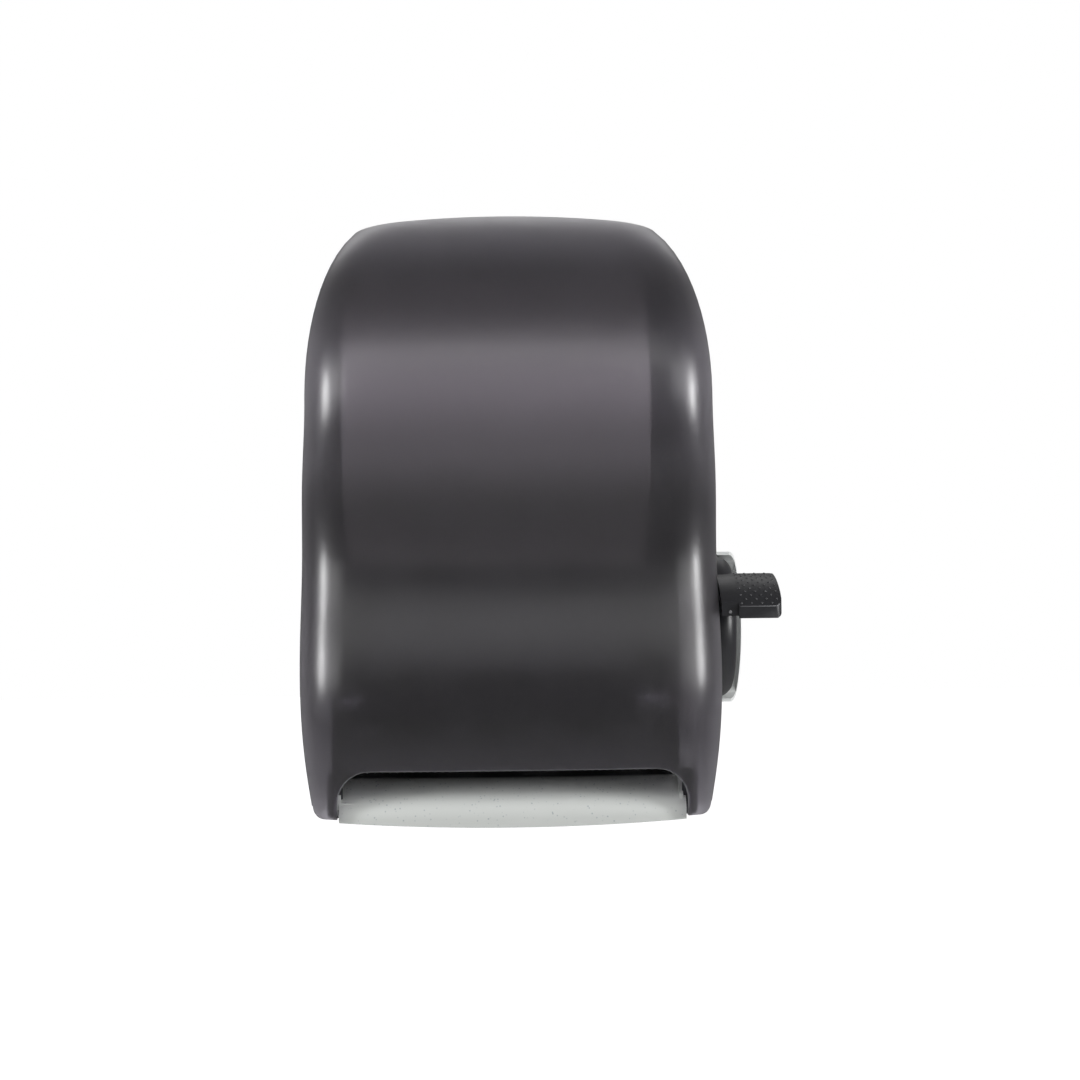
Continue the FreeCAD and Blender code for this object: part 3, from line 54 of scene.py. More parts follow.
def finishPiece(mesh, name, material, body, smoothDegrees=35):
    # a mesh or bmesh becomes a shaded piece that rides on a body
    if isinstance(mesh, bmesh.types.BMesh):
        work = mesh
        mesh = bpy.data.meshes.new(name)
        work.to_mesh(mesh)
        work.free()
    piece = bpy.data.objects.new(name, mesh)
    bpy.context.scene.collection.objects.link(piece)
    mesh.materials.clear()
    mesh.materials.append(material)
    mesh.shade_smooth()
    if smoothDegrees < 180:
        mesh.set_sharp_from_angle(angle=math.radians(smoothDegrees))
    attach(piece, body)
    return piece


def bodyOf(node):
    for body, names in frame["record"]["behaviour"]["bodies"].items():
        if node in names:
            return body


def bakedMesh(piece):
    # the piece's mesh with its modifiers applied
    graph = bpy.context.evaluated_depsgraph_get()
    graph.update()
    return bpy.data.meshes.new_from_object(piece.evaluated_get(graph), depsgraph=graph)


def addBevel(piece, width, segments=2, degrees=35):
    bevel = piece.modifiers.new("edges", "BEVEL")
    bevel.width = width
    bevel.segments = segments
    bevel.limit_method = "ANGLE"
    bevel.angle_limit = math.radians(degrees)
    bevel.use_clamp_overlap = True
    bevel.harden_normals = True


def refineNode(node, material, edge=0.0003, segments=2, degrees=30):
    # a cleaned copy of a CAD node with small rounded edges, in place of the node
    work = bmesh.new()
    work.from_mesh(nodes[node].data)
    bmesh.ops.remove_doubles(work, verts=work.verts, dist=2e-6)
    bmesh.ops.dissolve_limit(work, angle_limit=math.radians(0.6), verts=work.verts,
                             edges=work.edges)
    piece = finishPiece(work, node + "Piece", material, bodyOf(node), degrees)
    if edge:
        addBevel(piece, edge, segments, degrees)
    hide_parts(node)
    return piece


def slotOf(node):
    for row in frame["record"]["subparts"]:
        if row["node"] == node:
            return row["material_slot"]


# Materials

def newMaterial(name):
    material = bpy.data.materials.new(name)
    material.use_nodes = True
    tree = material.node_tree
    return material, tree, tree.nodes["Principled BSDF"]


def objectPoint(tree, scale=(1, 1, 1)):
    place = tree.nodes.new("ShaderNodeTexCoord")
    mapping = tree.nodes.new("ShaderNodeMapping")
    mapping.inputs["Scale"].default_value = scale
    tree.links.new(place.outputs["Object"], mapping.inputs["Vector"])
    return mapping.outputs["Vector"]


def noise(tree, point, scale, detail=3, roughness=0.5):
    node = tree.nodes.new("ShaderNodeTexNoise")
    node.inputs["Scale"].default_value = scale
    node.inputs["Detail"].default_value = detail
    node.inputs["Roughness"].default_value = roughness
    tree.links.new(point, node.inputs["Vector"])
    return node.outputs["Fac"]


def remap(tree, value, lowIn, highIn, lowOut, highOut):
    node = tree.nodes.new("ShaderNodeMapRange")
    for socket, number in zip(("From Min", "From Max", "To Min", "To Max"),
                              (lowIn, highIn, lowOut, highOut)):
        node.inputs[socket].default_value = number
    tree.links.new(value, node.inputs["Value"])
    return node.outputs["Result"]


def mixColours(tree, factor, first, second):
    node = tree.nodes.new("ShaderNodeMix")
    node.data_type = "RGBA"
    tree.links.new(factor, node.inputs[0])
    for socket, colour in ((node.inputs[6], first), (node.inputs[7], second)):
        if isinstance(colour, tuple):
            socket.default_value = (*colour, 1)
        else:
            tree.links.new(colour, socket)
    return node.outputs[2]


def bump(tree, height, strength, distance):
    node = tree.nodes.new("ShaderNodeBump")
    node.inputs["Strength"].default_value = strength
    node.inputs["Distance"].default_value = distance
    tree.links.new(height, node.inputs["Height"])
    return node.outputs["Normal"]


def plastic(name, colour, roughness, grain=2600, grainDepth=0.00002, variation=0.06):
    # moulded plastic: fine grain, faint mottling and uneven gloss
    material, tree, shader = newMaterial(name)
    point = objectPoint(tree)
    mottle = noise(tree, point, 24, 4)
    darker = tuple(channel * (1 - variation) for channel in colour)
    lighter = tuple(min(1, channel * (1 + variation)) for channel in colour)
    tree.links.new(mixColours(tree, mottle, darker, lighter), shader.inputs["Base Color"])
    tree.links.new(remap(tree, noise(tree, point, 60, 5), 0.3, 0.7, roughness - 0.04,
                         roughness + 0.05), shader.inputs["Roughness"])
    tree.links.new(bump(tree, noise(tree, point, grain, 2), 0.5, grainDepth),
                   shader.inputs["Normal"])
    return material


def smokedPlastic():
    # see-through smoke plastic of the cover; each depth is a height and how much light it lets by,
    # set in bands that paint light and shade onto the cover by height
    values = {"tint": (1.0, 0.955, 1.055), "roughness": 0.30, "ior": 1.5,
              "depths": ((-0.216, 0.34), (-0.08, 0.30), (0.0, 0.18), (0.04, 0.30), (0.085, 0.42),
                         (0.155, 0.18), (0.192, 0.34), (0.205, 0.40))}
    material, tree, shader = newMaterial("smokedPlastic")
    point = objectPoint(tree)
    parts = tree.nodes.new("ShaderNodeSeparateXYZ")
    tree.links.new(point, parts.inputs[0])
    # painted light and shade: the cover's tint steps lighter and darker with height
    low, high = values["depths"][0][0], values["depths"][-1][0]
    ramp = tree.nodes.new("ShaderNodeValToRGB")
    ramp.color_ramp.interpolation = "EASE"
    stops = ramp.color_ramp.elements
    last = len(values["depths"]) - 1
    for index, (height, level) in enumerate(values["depths"]):
        place = (height - low) / (high - low)
        if index in (0, last):
            stop = stops[0 if index == 0 else -1]
        else:
            stop = stops.new(place)
        stop.position = place
        stop.color = (*(level * channel for channel in values["tint"]), 1)
    tree.links.new(remap(tree, parts.outputs["Z"], low, high, 0, 1), ramp.inputs["Fac"])
    mottle = noise(tree, point, 9, 3)
    uneven = tree.nodes.new("ShaderNodeMix")
    uneven.data_type = "RGBA"
    uneven.blend_type = "MULTIPLY"
    uneven.inputs[0].default_value = 1
    tree.links.new(ramp.outputs["Color"], uneven.inputs[6])
    tree.links.new(mixColours(tree, mottle, (0.97, 0.97, 0.97), (1, 1, 1)), uneven.inputs[7])
    tree.links.new(uneven.outputs[2], shader.inputs["Base Color"])
    tree.links.new(remap(tree, noise(tree, point, 40, 4), 0.3, 0.7, values["roughness"] - 0.02,
                         values["roughness"] + 0.03), shader.inputs["Roughness"])
    tree.links.new(bump(tree, noise(tree, point, 1500, 2), 0.25, 0.00001),
                   shader.inputs["Normal"])
    shader.inputs["Transmission Weight"].default_value = 1
    shader.inputs["IOR"].default_value = values["ior"]
    return material


def speckledPlastic(name, values):
    # pale grey plastic with sparse darker flecks; where given, a painted shade darkens it between
    # two heights
    material, tree, shader = newMaterial(name)
    point = objectPoint(tree)
    cells = tree.nodes.new("ShaderNodeTexVoronoi")
    cells.inputs["Scale"].default_value = values["fleckScale"]
    tree.links.new(point, cells.inputs["Vector"])
    spots = remap(tree, cells.outputs["Distance"], 0.12, 0.24, 1, 0)
    rare = remap(tree, noise(tree, point, 170, 2), 0.47, 0.55, 0, 1)
    both = tree.nodes.new("ShaderNodeMath")
    both.operation = "MULTIPLY"
    tree.links.new(spots, both.inputs[0])
    tree.links.new(rare, both.inputs[1])
    soft = mixColours(tree, noise(tree, point, 14, 4), values["colour"],
                      tuple(channel * 0.93 for channel in values["colour"]))
    colour = mixColours(tree, both.outputs[0], soft, values["fleck"])
    # painted shade: the colour blends to a darker one between two heights
    if "paintedShade" in values:
        parts = tree.nodes.new("ShaderNodeSeparateXYZ")
        tree.links.new(point, parts.inputs[0])
        depth = remap(tree, parts.outputs["Z"], *values["paintedShade"], 0, 1)
        colour = mixColours(tree, depth, colour, values["paintedShadeColour"])
    tree.links.new(colour, shader.inputs["Base Color"])
    tree.links.new(bump(tree, noise(tree, point, 2200, 2), 0.5, 0.00002),
                   shader.inputs["Normal"])
    shader.inputs["Roughness"].default_value = 0.5
    return material


def metal(name, colour, roughness, along=(1, 1, 1), depth=0.00001):
    material, tree, shader = newMaterial(name)
    point = objectPoint(tree, along)
    brushed = noise(tree, point, 900, 4, 0.6)
    tree.links.new(mixColours(tree, noise(tree, point, 40, 3), colour,
                              tuple(channel * 0.86 for channel in colour)),
                   shader.inputs["Base Color"])
    tree.links.new(remap(tree, brushed, 0.3, 0.7, roughness - 0.06, roughness + 0.10),
                   shader.inputs["Roughness"])
    tree.links.new(bump(tree, brushed, 0.3, depth), shader.inputs["Normal"])
    shader.inputs["Metallic"].default_value = 1
    return material


def rubberMaterial():
    return plastic("blackRubber", (0.028, 0.028, 0.03), 0.75, grain=1400, grainDepth=0.00005)


def paperMaterial():
    # soft embossed towel paper, wound in layers that show on the roll's ends
    values = {"colour": (0.86, 0.85, 0.80), "emboss": 330, "depth": 0.00014, "layers": 130,
              "axis": (0, 0.114, -0.065)}
    material, tree, shader = newMaterial("towelPaper")
    point = objectPoint(tree)
    tree.links.new(mixColours(tree, noise(tree, point, 90, 5), values["colour"],
                              tuple(channel * 0.94 for channel in values["colour"])),
                   shader.inputs["Base Color"])
    cells = tree.nodes.new("ShaderNodeTexVoronoi")
    cells.inputs["Scale"].default_value = values["emboss"]
    cells.inputs["Randomness"].default_value = 0.15
    tree.links.new(point, cells.inputs["Vector"])
    mapping = tree.nodes.new("ShaderNodeMapping")
    mapping.inputs["Location"].default_value = values["axis"]
    tree.links.new(point, mapping.inputs["Vector"])
    rings = tree.nodes.new("ShaderNodeTexWave")
    rings.wave_type = "RINGS"
    rings.rings_direction = "X"
    rings.inputs["Scale"].default_value = values["layers"]
    rings.inputs["Distortion"].default_value = 0.6
    tree.links.new(mapping.outputs["Vector"], rings.inputs["Vector"])
    height = tree.nodes.new("ShaderNodeMath")
    height.operation = "ADD"
    tree.links.new(cells.outputs["Distance"], height.inputs[0])
    tree.links.new(rings.outputs["Fac"], height.inputs[1])
    tree.links.new(bump(tree, height.outputs[0], 0.6, values["depth"]), shader.inputs["Normal"])
    shader.inputs["Roughness"].default_value = 0.92
    return material


def cardboardMaterial():
    return plastic("cardboard", (0.42, 0.31, 0.19), 0.85, grain=900, grainDepth=0.00005,
                   variation=0.12)


smoke = smokedPlastic()
fleckValues = {"colour": (0.62, 0.64, 0.62), "fleck": (0.36, 0.40, 0.41), "fleckScale": 340}
# the apron goes nearly black above a height just under the cover's lip: a painted shadow of the lip
apronValues = {"paintedShade": (-0.1788, -0.1776), "paintedShadeColour": (0.03, 0.03, 0.03), **fleckValues}
greyPlastic = speckledPlastic("speckledPlastic", fleckValues)
apronPlastic = speckledPlastic("apronPlastic", apronValues)
# lighter grey than the speckled plastic, for the gear housing: painted light, so its rim reads
# bright though it lies in shade
paintedLitGrey = plastic("paintedLitGrey", (0.80, 0.82, 0.81), 0.45)
# the chassis goes darker below a height: painted shade inside the housing, where it shows through
# the cover
chassisValues = {"colour": (0.56, 0.60, 0.56), "fleck": (0.30, 0.32, 0.32), "fleckScale": 340,
                 "paintedShade": (0.185, 0.14), "paintedShadeColour": (0.21, 0.212, 0.222)}
chassisPlastic = speckledPlastic("chassisPlastic", chassisValues)
dotPlastic = plastic("dotPlastic", (0.07, 0.07, 0.075), 0.25)
# lighter grey for thin tubes along edges: painted highlights on the mouth's lip and the paddle's
# front edge
highlightPlastic = plastic("highlightPlastic", (0.20, 0.20, 0.21), 0.3)
blackPlastic = plastic("blackPlastic", (0.018, 0.018, 0.021), 0.38, grain=2400, grainDepth=0.00003)
whitePlastic = plastic("whitePlastic", (0.80, 0.80, 0.76), 0.42)
darkSteel = metal("darkSteel", (0.10, 0.10, 0.105), 0.45, (0.05, 1, 1))
steel = metal("drawnSteel", (0.62, 0.62, 0.64), 0.32, (0.05, 1, 1))
zinc = metal("platedZinc", (0.70, 0.70, 0.72), 0.22)
rubber = rubberMaterial()
paper = paperMaterial()
cardboard = cardboardMaterial()
print("materials ready")


# Cover: a smooth shell on the same levels as the chassis rim behind it

coverValues = {
    "foot": (-216, 131.4, 204.0), "lip": (-171, 137.8, 214.0), "chin": (-118, 140.9, 222.5),
    "flank": (-76, 140.7, 214.5), "waist": (-32, 139.6, 207.0), "rise": (20, 138.5, 220.0),
    "bulge": (75, 135.6, 235.0),
    "crownTop": 204.7, "crownRadius": 680, "crownRise": 136.3, "sideTaper": 60,
    "frontTaper": 150, "corner": 36, "bow": 6, "rimRound": 9, "wall": 2.5, "rear": -1.5,
    "levels": 46, "rimSteps": 6, "edge": 0.5, "sharpDegrees": 38, "bevelDegrees": 45,
}


def clampedCurve(stations, values, startSlope, endSlope):
    # slopes of the smooth curve through the values, as a draughtsman's spline lies
    count = len(stations)
    rows = numpy.zeros((count, count))
    right = numpy.zeros(count)
    rows[0, 0] = rows[-1, -1] = 1
    right[0], right[-1] = startSlope, endSlope
    for k in range(1, count - 1):
        before = stations[k] - stations[k - 1]
        after = stations[k + 1] - stations[k]
        rows[k, k - 1:k + 2] = 1 / before, 2 / before + 2 / after, 1 / after
        right[k] = 3 * ((values[k] - values[k - 1]) / before ** 2
                        + (values[k + 1] - values[k]) / after ** 2)
    return numpy.linalg.solve(rows, right)


levelNames = ("foot", "lip", "chin", "flank", "waist", "rise", "bulge")
stations = [coverValues[name][0] for name in levelNames]
halves = [coverValues[name][1] for name in levelNames]
depths = [coverValues[name][2] for name in levelNames]
halfSlopes = clampedCurve(stations, halves, 0.142, 0)
depthSlopes = clampedCurve(stations, depths, 0.178, 0)


def alongCurve(height, values, slopes):
    k = min(max(sum(height >= station for station in stations) - 1, 0), len(stations) - 2)
    span = stations[k + 1] - stations[k]
    t = (height - stations[k]) / span
    return ((2 * t ** 3 - 3 * t ** 2 + 1) * values[k] + (t ** 3 - 2 * t ** 2 + t) * span * slopes[k]
            + (-2 * t ** 3 + 3 * t ** 2) * values[k + 1] + (t ** 3 - t ** 2) * span * slopes[k + 1])


def coverSize(height):
    # half width and depth of the cover's outside at a height, in millimetres
    if height <= stations[-1]:
        return alongCurve(height, halves, halfSlopes), alongCurve(height, depths, depthSlopes)
    lean = math.asin(min(0.9999, (height - stations[-1]) / coverValues["crownRise"]))
    back = 1 - math.cos(lean)
    return (halves[-1] - coverValues["sideTaper"] * back,
            depths[-1] - coverValues["frontTaper"] * back)


def crownHeight(x):
    radius = coverValues["crownRadius"]
    return coverValues["crownTop"] - radius + math.sqrt(radius ** 2 - x ** 2)


sideSteps, cornerSteps, frontSteps = 14, 10, 22


def outlineArcs(height):
    # half width of the outline, reach of its front, bow radius and centre, corner centre
    half, depth = coverSize(height)
    corner, bowRise = coverValues["corner"], coverValues["bow"]
    reach = half - corner
    bowRadius = (reach ** 2 + bowRise ** 2) / (2 * bowRise) + corner
    centre = bowRadius - depth
    cornerY = centre - math.sqrt((bowRadius - corner) ** 2 - reach ** 2)
    return half, reach, bowRadius, centre, cornerY


def ringPoint(height, column):
    # point of the outline at one height; columns run from rear right round to rear left
    half, reach, bowRadius, centre, cornerY = outlineArcs(height)
    corner = coverValues["corner"]
    total = 2 * (sideSteps + cornerSteps) + frontSteps
    mirror = column > total / 2
    if mirror:
        column = total - column
    lean = math.atan2(reach, centre - cornerY)
    if column <= sideSteps:
        t = column / sideSteps
        point = (half, coverValues["rear"] + (cornerY - coverValues["rear"]) * t)
    elif column <= sideSteps + cornerSteps:
        angle = (math.pi / 2 - lean) * (column - sideSteps) / cornerSteps
        point = (reach + corner * math.cos(angle), cornerY - corner * math.sin(angle))
    else:
        t = (column - sideSteps - cornerSteps) / (frontSteps / 2)
        angle = lean * (1 - t)
        point = (bowRadius * math.sin(angle), centre - bowRadius * math.cos(angle))
    return Vector((-point[0] if mirror else point[0], point[1], height))


def crownPoint(column):
    # where one column of the outline meets the arched crown
    point = ringPoint(coverValues["crownTop"] - 10, column)
    for _ in range(12):
        point = ringPoint(crownHeight(point.x), column)
    return point


def coverShell():
    columns = 2 * (sideSteps + cornerSteps) + frontSteps + 1
    levels, rimSteps = coverValues["levels"], coverValues["rimSteps"]
    work = bmesh.new()
    chains = [[] for _ in range(levels + rimSteps + 1)]
    for column in range(columns):
        top = crownPoint(column)
        below = ringPoint(top.z - 3, column)
        down = (below - top).normalized()
        ahead = ringPoint(top.z, min(column + 1, columns - 1))
        behind = ringPoint(top.z, max(column - 1, 0))
        run = (ahead - behind).normalized()
        inward = Vector((run.y, -run.x, 0))
        if inward.dot(Vector((top.x, top.y + 60, 0))) > 0:
            inward = -inward
        rise = crownHeight(top.x + inward.x) - crownHeight(top.x)
        inward = Vector((inward.x, inward.y, rise)).normalized()
        opening = down.angle(inward)
        length = coverValues["rimRound"] / math.tan(opening / 2)
        start, end = top + down * length, top + inward * length
        foot = stations[0]
        for level in range(levels + 1):
            height = foot + (start.z - foot) * level / levels
            point = ringPoint(height, column) if level < levels else start
            chains[level].append(work.verts.new(point * mm))
        for step in range(1, rimSteps + 1):
            t = step / rimSteps
            point = start * (1 - t) ** 2 + top * 2 * t * (1 - t) + end * t ** 2
            chains[levels + step].append(work.verts.new(point * mm))
    edges = [[work.edges.new(pair) for pair in zip(chain, chain[1:])] for chain in chains]
    for lower, upper in zip(edges, edges[1:]):
        bmesh.ops.bridge_loops(work, edges=lower + upper)
    capCrown(work, chains[-1])
    bmesh.ops.remove_doubles(work, verts=work.verts, dist=1e-6)
    bmesh.ops.recalc_face_normals(work, faces=work.faces)
    if sum(face.normal.z * face.calc_area() for face in work.faces) < 0:
        bmesh.ops.reverse_faces(work, faces=work.faces)
    return work


def capCrown(work, rim):
    # grid of faces over the arched top, meeting the rim's points
    cap = bmesh.new()
    corners = [cap.verts.new((vert.co.x, vert.co.y, 0)) for vert in rim]
    cap.faces.new(corners)
    cuts = [((vert.co.x, 0, 0), (1, 0, 0)) for vert in rim[sideSteps + 1:-sideSteps - 1]]
    cuts += [((0, vert.co.y, 0), (0, 1, 0)) for vert in rim[1:sideSteps + 1]]
    for place, direction in cuts:
        bmesh.ops.bisect_plane(cap, geom=cap.verts[:] + cap.edges[:] + cap.faces[:],
                               plane_co=place, plane_no=direction, dist=1e-7)
    heights = {(round(vert.co.x, 6), round(vert.co.y, 6)): vert.co.z for vert in rim}
    for vert in cap.verts:
        place = (round(vert.co.x, 6), round(vert.co.y, 6))
        vert.co.z = heights.get(place, crownHeight(vert.co.x / mm) * mm)
    mesh = bpy.data.meshes.new("cap")
    cap.to_mesh(mesh)
    cap.free()
    work.from_mesh(mesh)
    bpy.data.meshes.remove(mesh)


def roundedPrism(corners, start, length, axis, steps=8):
    # prism from (u, v, radius) corners, drawn in XZ for axis Y or in YZ for axis X
    work = bmesh.new()
    outline = []
    for index, (u, v, radius) in enumerate(corners):
        corner = Vector((u, v))
        before = (Vector(corners[index - 1][:2]) - corner).normalized()
        after = (Vector(corners[(index + 1) % len(corners)][:2]) - corner).normalized()
        half = before.angle(after) / 2
        if radius <= 0:
            outline.append(corner)
            continue
        reach = radius / math.tan(half)
        first, last = corner + before * reach, corner + after * reach
        middle = corner + (before + after).normalized() * radius / math.sin(half)
        for step in range(steps + 1):
            point = first.lerp(last, step / steps) - middle
            outline.append(middle + point.normalized() * radius)
    if axis == "Y":
        verts = [work.verts.new((u * mm, start * mm, v * mm)) for u, v in outline]
        along = Vector((0, length * mm, 0))
    elif axis == "X":
        verts = [work.verts.new((start * mm, u * mm, v * mm)) for u, v in outline]
        along = Vector((length * mm, 0, 0))
    else:
        verts = [work.verts.new((u * mm, v * mm, start * mm)) for u, v in outline]
        along = Vector((0, 0, length * mm))
    face = work.faces.new(verts)
    grown = bmesh.ops.extrude_face_region(work, geom=[face])["geom"]
    moved = [item for item in grown if isinstance(item, bmesh.types.BMVert)]
    bmesh.ops.translate(work, verts=moved, vec=along)
    bmesh.ops.recalc_face_normals(work, faces=work.faces)
    return work


def cylinderAlong(axis, centre, radius, start, length, segments=64):
    work = bmesh.new()
    bmesh.ops.create_cone(work, cap_ends=True, cap_tris=False, segments=segments,
                          radius1=radius * mm, radius2=radius * mm, depth=length * mm)
    turn = {"X": Matrix.Rotation(math.pi / 2, 4, "Y"), "Y": Matrix.Rotation(math.pi / 2, 4, "X"),
            "Z": Matrix.Identity(4)}[axis]
    middle = {"X": (start + length / 2, *centre), "Y": (centre[0], start + length / 2, centre[1]),
              "Z": (*centre, start + length / 2)}[axis]
    bmesh.ops.transform(work, matrix=Matrix.Translation(Vector(middle) * mm) @ turn,
                        verts=work.verts)
    return work


def looseObject(work, name):
    mesh = bpy.data.meshes.new(name)
    work.to_mesh(mesh)
    work.free()
    item = bpy.data.objects.new(name, mesh)
    bpy.context.scene.collection.objects.link(item)
    return item


def cutAway(item, cutters, operation="DIFFERENCE"):
    # boolean with each cutter in turn, each kept before the next; the cutters are then deleted
    for cutter in cutters:
        step = item.modifiers.new("cut", "BOOLEAN")
        step.operation = operation
        step.solver = "EXACT"
        step.object = cutter
        mesh = bakedMesh(item)
        item.modifiers.clear()
        item.data = mesh
        bpy.data.objects.remove(cutter)
    return item


openingValues = {
    "earBottom": -203.5, "earRound": 8, "mouthHalf": 116.3, "mouthRound": 22, "mouthTop": -171,
    "hingeY": -22, "hingeZ": -190, "heel": 20.3, "pin": 3.56, "lockY": -60, "lockRadius": 9,
    "notchGap": 1.0, "housingRadius": 52.5, "leverY": -95, "leverZ": -79.5,
    "edgeWall": 1.8, "edgeStart": 1.2, "edgeDepth": 8,
}


def hingePoint(radius, lean):
    v = openingValues
    return (v["hingeY"] - radius * math.sin(lean), v["hingeZ"] + radius * math.cos(lean))


def notchCutter():
    # room for the side panel: a band swept about the hinge with a round front end
    v = openingValues
    grow = v["notchGap"]
    hingeReach = math.hypot(v["leverY"] - v["hingeY"], v["leverZ"] - v["hingeZ"])
    outer = hingeReach + v["housingRadius"] + grow
    inner = hingeReach - v["housingRadius"] - grow
    front = math.atan2(v["hingeY"] - v["leverY"], v["leverZ"] - v["hingeZ"])
    rearOuter = -math.asin((5 - v["hingeY"]) / outer)
    rearInner = -math.asin((5 - v["hingeY"]) / inner)
    points = [hingePoint(outer, rearOuter + (front - rearOuter) * k / 24) for k in range(25)]
    reach = v["housingRadius"] + grow
    for k in range(1, 24):
        lean = front - math.pi * k / 24
        points.append((v["leverY"] - reach * math.sin(lean), v["leverZ"] + reach * math.cos(lean)))
    points += [hingePoint(inner, front + (rearInner - front) * k / 24) for k in range(25)]
    return roundedPrism([(y, z, 0) for y, z in points], 110, 60, "X")


def mouthBlock():
    # thicker wall round the mouth; its inner part stays as the mouth's return wall
    v = openingValues
    block = looseObject(coverShell(), "mouthBlock")
    wall = block.modifiers.new("wall", "SOLIDIFY")
    wall.thickness = (v["edgeDepth"] - v["edgeStart"]) * mm
    wall.offset = -1 - 2 * v["edgeStart"] / (v["edgeDepth"] - v["edgeStart"])
    wall.use_even_offset = True
    wide, high = v["mouthHalf"] + v["edgeWall"], v["mouthTop"] + v["edgeWall"]
    turn = v["mouthRound"] + v["edgeWall"]
    region = roundedPrism([(-wide, -210, 0), (wide, -210, 0), (wide, high, turn),
                           (-wide, high, turn)], -60, -240, "Y")
    return cutAway(block, [looseObject(region, "region")], "INTERSECT")


def makeCover():
    v = openingValues
    item = looseObject(coverShell(), "coverShell")
    wall = item.modifiers.new("wall", "SOLIDIFY")
    wall.thickness = coverValues["wall"] * mm
    wall.offset = -1
    wall.use_even_offset = True
    low, turn = v["earBottom"], v["earRound"]
    half = coverValues["foot"][1] - turn + 2
    rightCorner = [(half + turn * math.sin(math.pi * k / 16),
                    low + turn * (1 - math.cos(math.pi * k / 16)), 0) for k in range(9)]
    leftCorner = [(-x, z, 0) for x, z, _ in reversed(rightCorner)]
    heelBox = looseObject(roundedPrism([(v["hingeY"], v["hingeZ"], 0), (60, v["hingeZ"], 0),
                                        (60, -260, 0), (v["hingeY"], -260, 0)], -180, 360, "X"),
                          "heelBox")
    heel = cylinderAlong("X", (v["hingeY"], v["hingeZ"]), v["heel"], -190, 380)
    cutAway(heelBox, [looseObject(heel, "heel")])
    cutters = [
        roundedPrism([(-v["mouthHalf"], -260, 0), (v["mouthHalf"], -260, 0),
                      (v["mouthHalf"], v["mouthTop"], v["mouthRound"]),
                      (-v["mouthHalf"], v["mouthTop"], v["mouthRound"])], -50, -260, "Y"),
        roundedPrism([(-half - 60, low - 60, 0), (half + 60, low - 60, 0),
                      (half + 60, low + turn, 0), *reversed(rightCorner), *reversed(leftCorner),
                      (-half - 60, low + turn, 0)], 40, -320, "Y"),
        cylinderAlong("Z", (0, v["lockY"]), v["lockRadius"], 150, 100),
        cylinderAlong("X", (v["hingeY"], v["hingeZ"]), v["pin"], -200, 400, 32),
        notchCutter(),
    ]
    cutAway(item, [mouthBlock()], "UNION")
    cutAway(item, [looseObject(cutter, "cutter") for cutter in cutters] + [heelBox])
    item.name = "coverShell"
    item.data.materials.clear()
    item.data.materials.append(smoke)
    item.data.shade_smooth()
    item.data.set_sharp_from_angle(angle=math.radians(coverValues["sharpDegrees"]))
    addBevel(item, coverValues["edge"] * mm, 2, coverValues["bevelDegrees"])
    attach(item, "cover")
    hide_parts("front_cover")
    return item


cover = makeCover()
print("cover ready", len(cover.data.polygons))


# Lighter bead along the mouth's edge: a painted highlight, for the light line along the lip

beadValues = {"radius": 0.42, "sink": 0.15, "low": -200, "steps": 12}


def frontY(x, height):
    # y of the cover's outside at a width and height
    half, reach, bowRadius, centre, cornerY = outlineArcs(height)
    corner = coverValues["corner"]
    if abs(x) < bowRadius * math.sin(math.atan2(reach, centre - cornerY)):
        return centre - math.sqrt(bowRadius ** 2 - x ** 2)
    return cornerY - math.sqrt(max(0, corner ** 2 - (abs(x) - reach) ** 2))


def tubeAlong(points, radius, sides=8):
    work = bmesh.new()
    rings = []
    for index, point in enumerate(points):
        ahead = points[min(index + 1, len(points) - 1)] - points[max(index - 1, 0)]
        first = ahead.cross(Vector((0, 1, 0))).normalized()
        second = ahead.cross(first).normalized()
        rings.append([work.verts.new((point + (first * math.cos(turn) + second * math.sin(turn))
                                      * radius) * mm)
                      for turn in (2 * math.pi * side / sides for side in range(sides))])
    for before, after in zip(rings, rings[1:]):
        for side in range(sides):
            work.faces.new((before[side], before[side - 1], after[side - 1], after[side]))
    work.faces.new(rings[0])
    work.faces.new(rings[-1])
    bmesh.ops.recalc_face_normals(work, faces=work.faces)
    return work


def mouthBead():
    v, o = beadValues, openingValues
    half, top, turn = o["mouthHalf"], o["mouthTop"], o["mouthRound"]
    flat = [(half, v["low"] + (top - turn - v["low"]) * k / 6) for k in range(6)]
    flat += [(half - turn + turn * math.cos(math.pi * k / 2 / v["steps"]),
              top - turn + turn * math.sin(math.pi * k / 2 / v["steps"]))
             for k in range(v["steps"] + 1)]
    flat += [(x, top) for x in range(90, -1, -10)]
    flat += [(-x, z) for x, z in reversed(flat[:-1])]
    points = [Vector((x, frontY(x, z) + v["sink"] + v["radius"], z)) for x, z in flat]
    return finishPiece(tubeAlong(points, v["radius"]), "mouthBead", highlightPlastic, "cover", 180)


mouthBead()


# Other pieces keep their CAD form, with small rounded edges

finishes = {
    "grey_plastic": greyPlastic, "black_plastic": blackPlastic, "steel": steel, "zinc": zinc,
    "white_plastic": whitePlastic, "rubber": rubber, "paper": paper, "cardboard": cardboard,
}
# own finishes: the apron's and the chassis's carry painted shade, the gear housing's is a painted
# lighter grey
ownFinish = {"chassis_back": chassisPlastic, "tear_bar": darkSteel, "chute_apron": apronPlastic,
             "gear_housing": paintedLitGrey}
edgeWidths = {"chute_apron": 0.0006, "lever": 0.0005, "gear_housing": 0.0006}
springNodes = ("pinch_springs", "lever_return_spring")
pieces = {}
for node in sorted(nodes):
    if node == "front_cover" or node in springNodes:
        continue
    finish = ownFinish.get(node, finishes[slotOf(node)])
    pieces[node] = refineNode(node, finish, edgeWidths.get(node, 0.0003))
print("pieces ready")


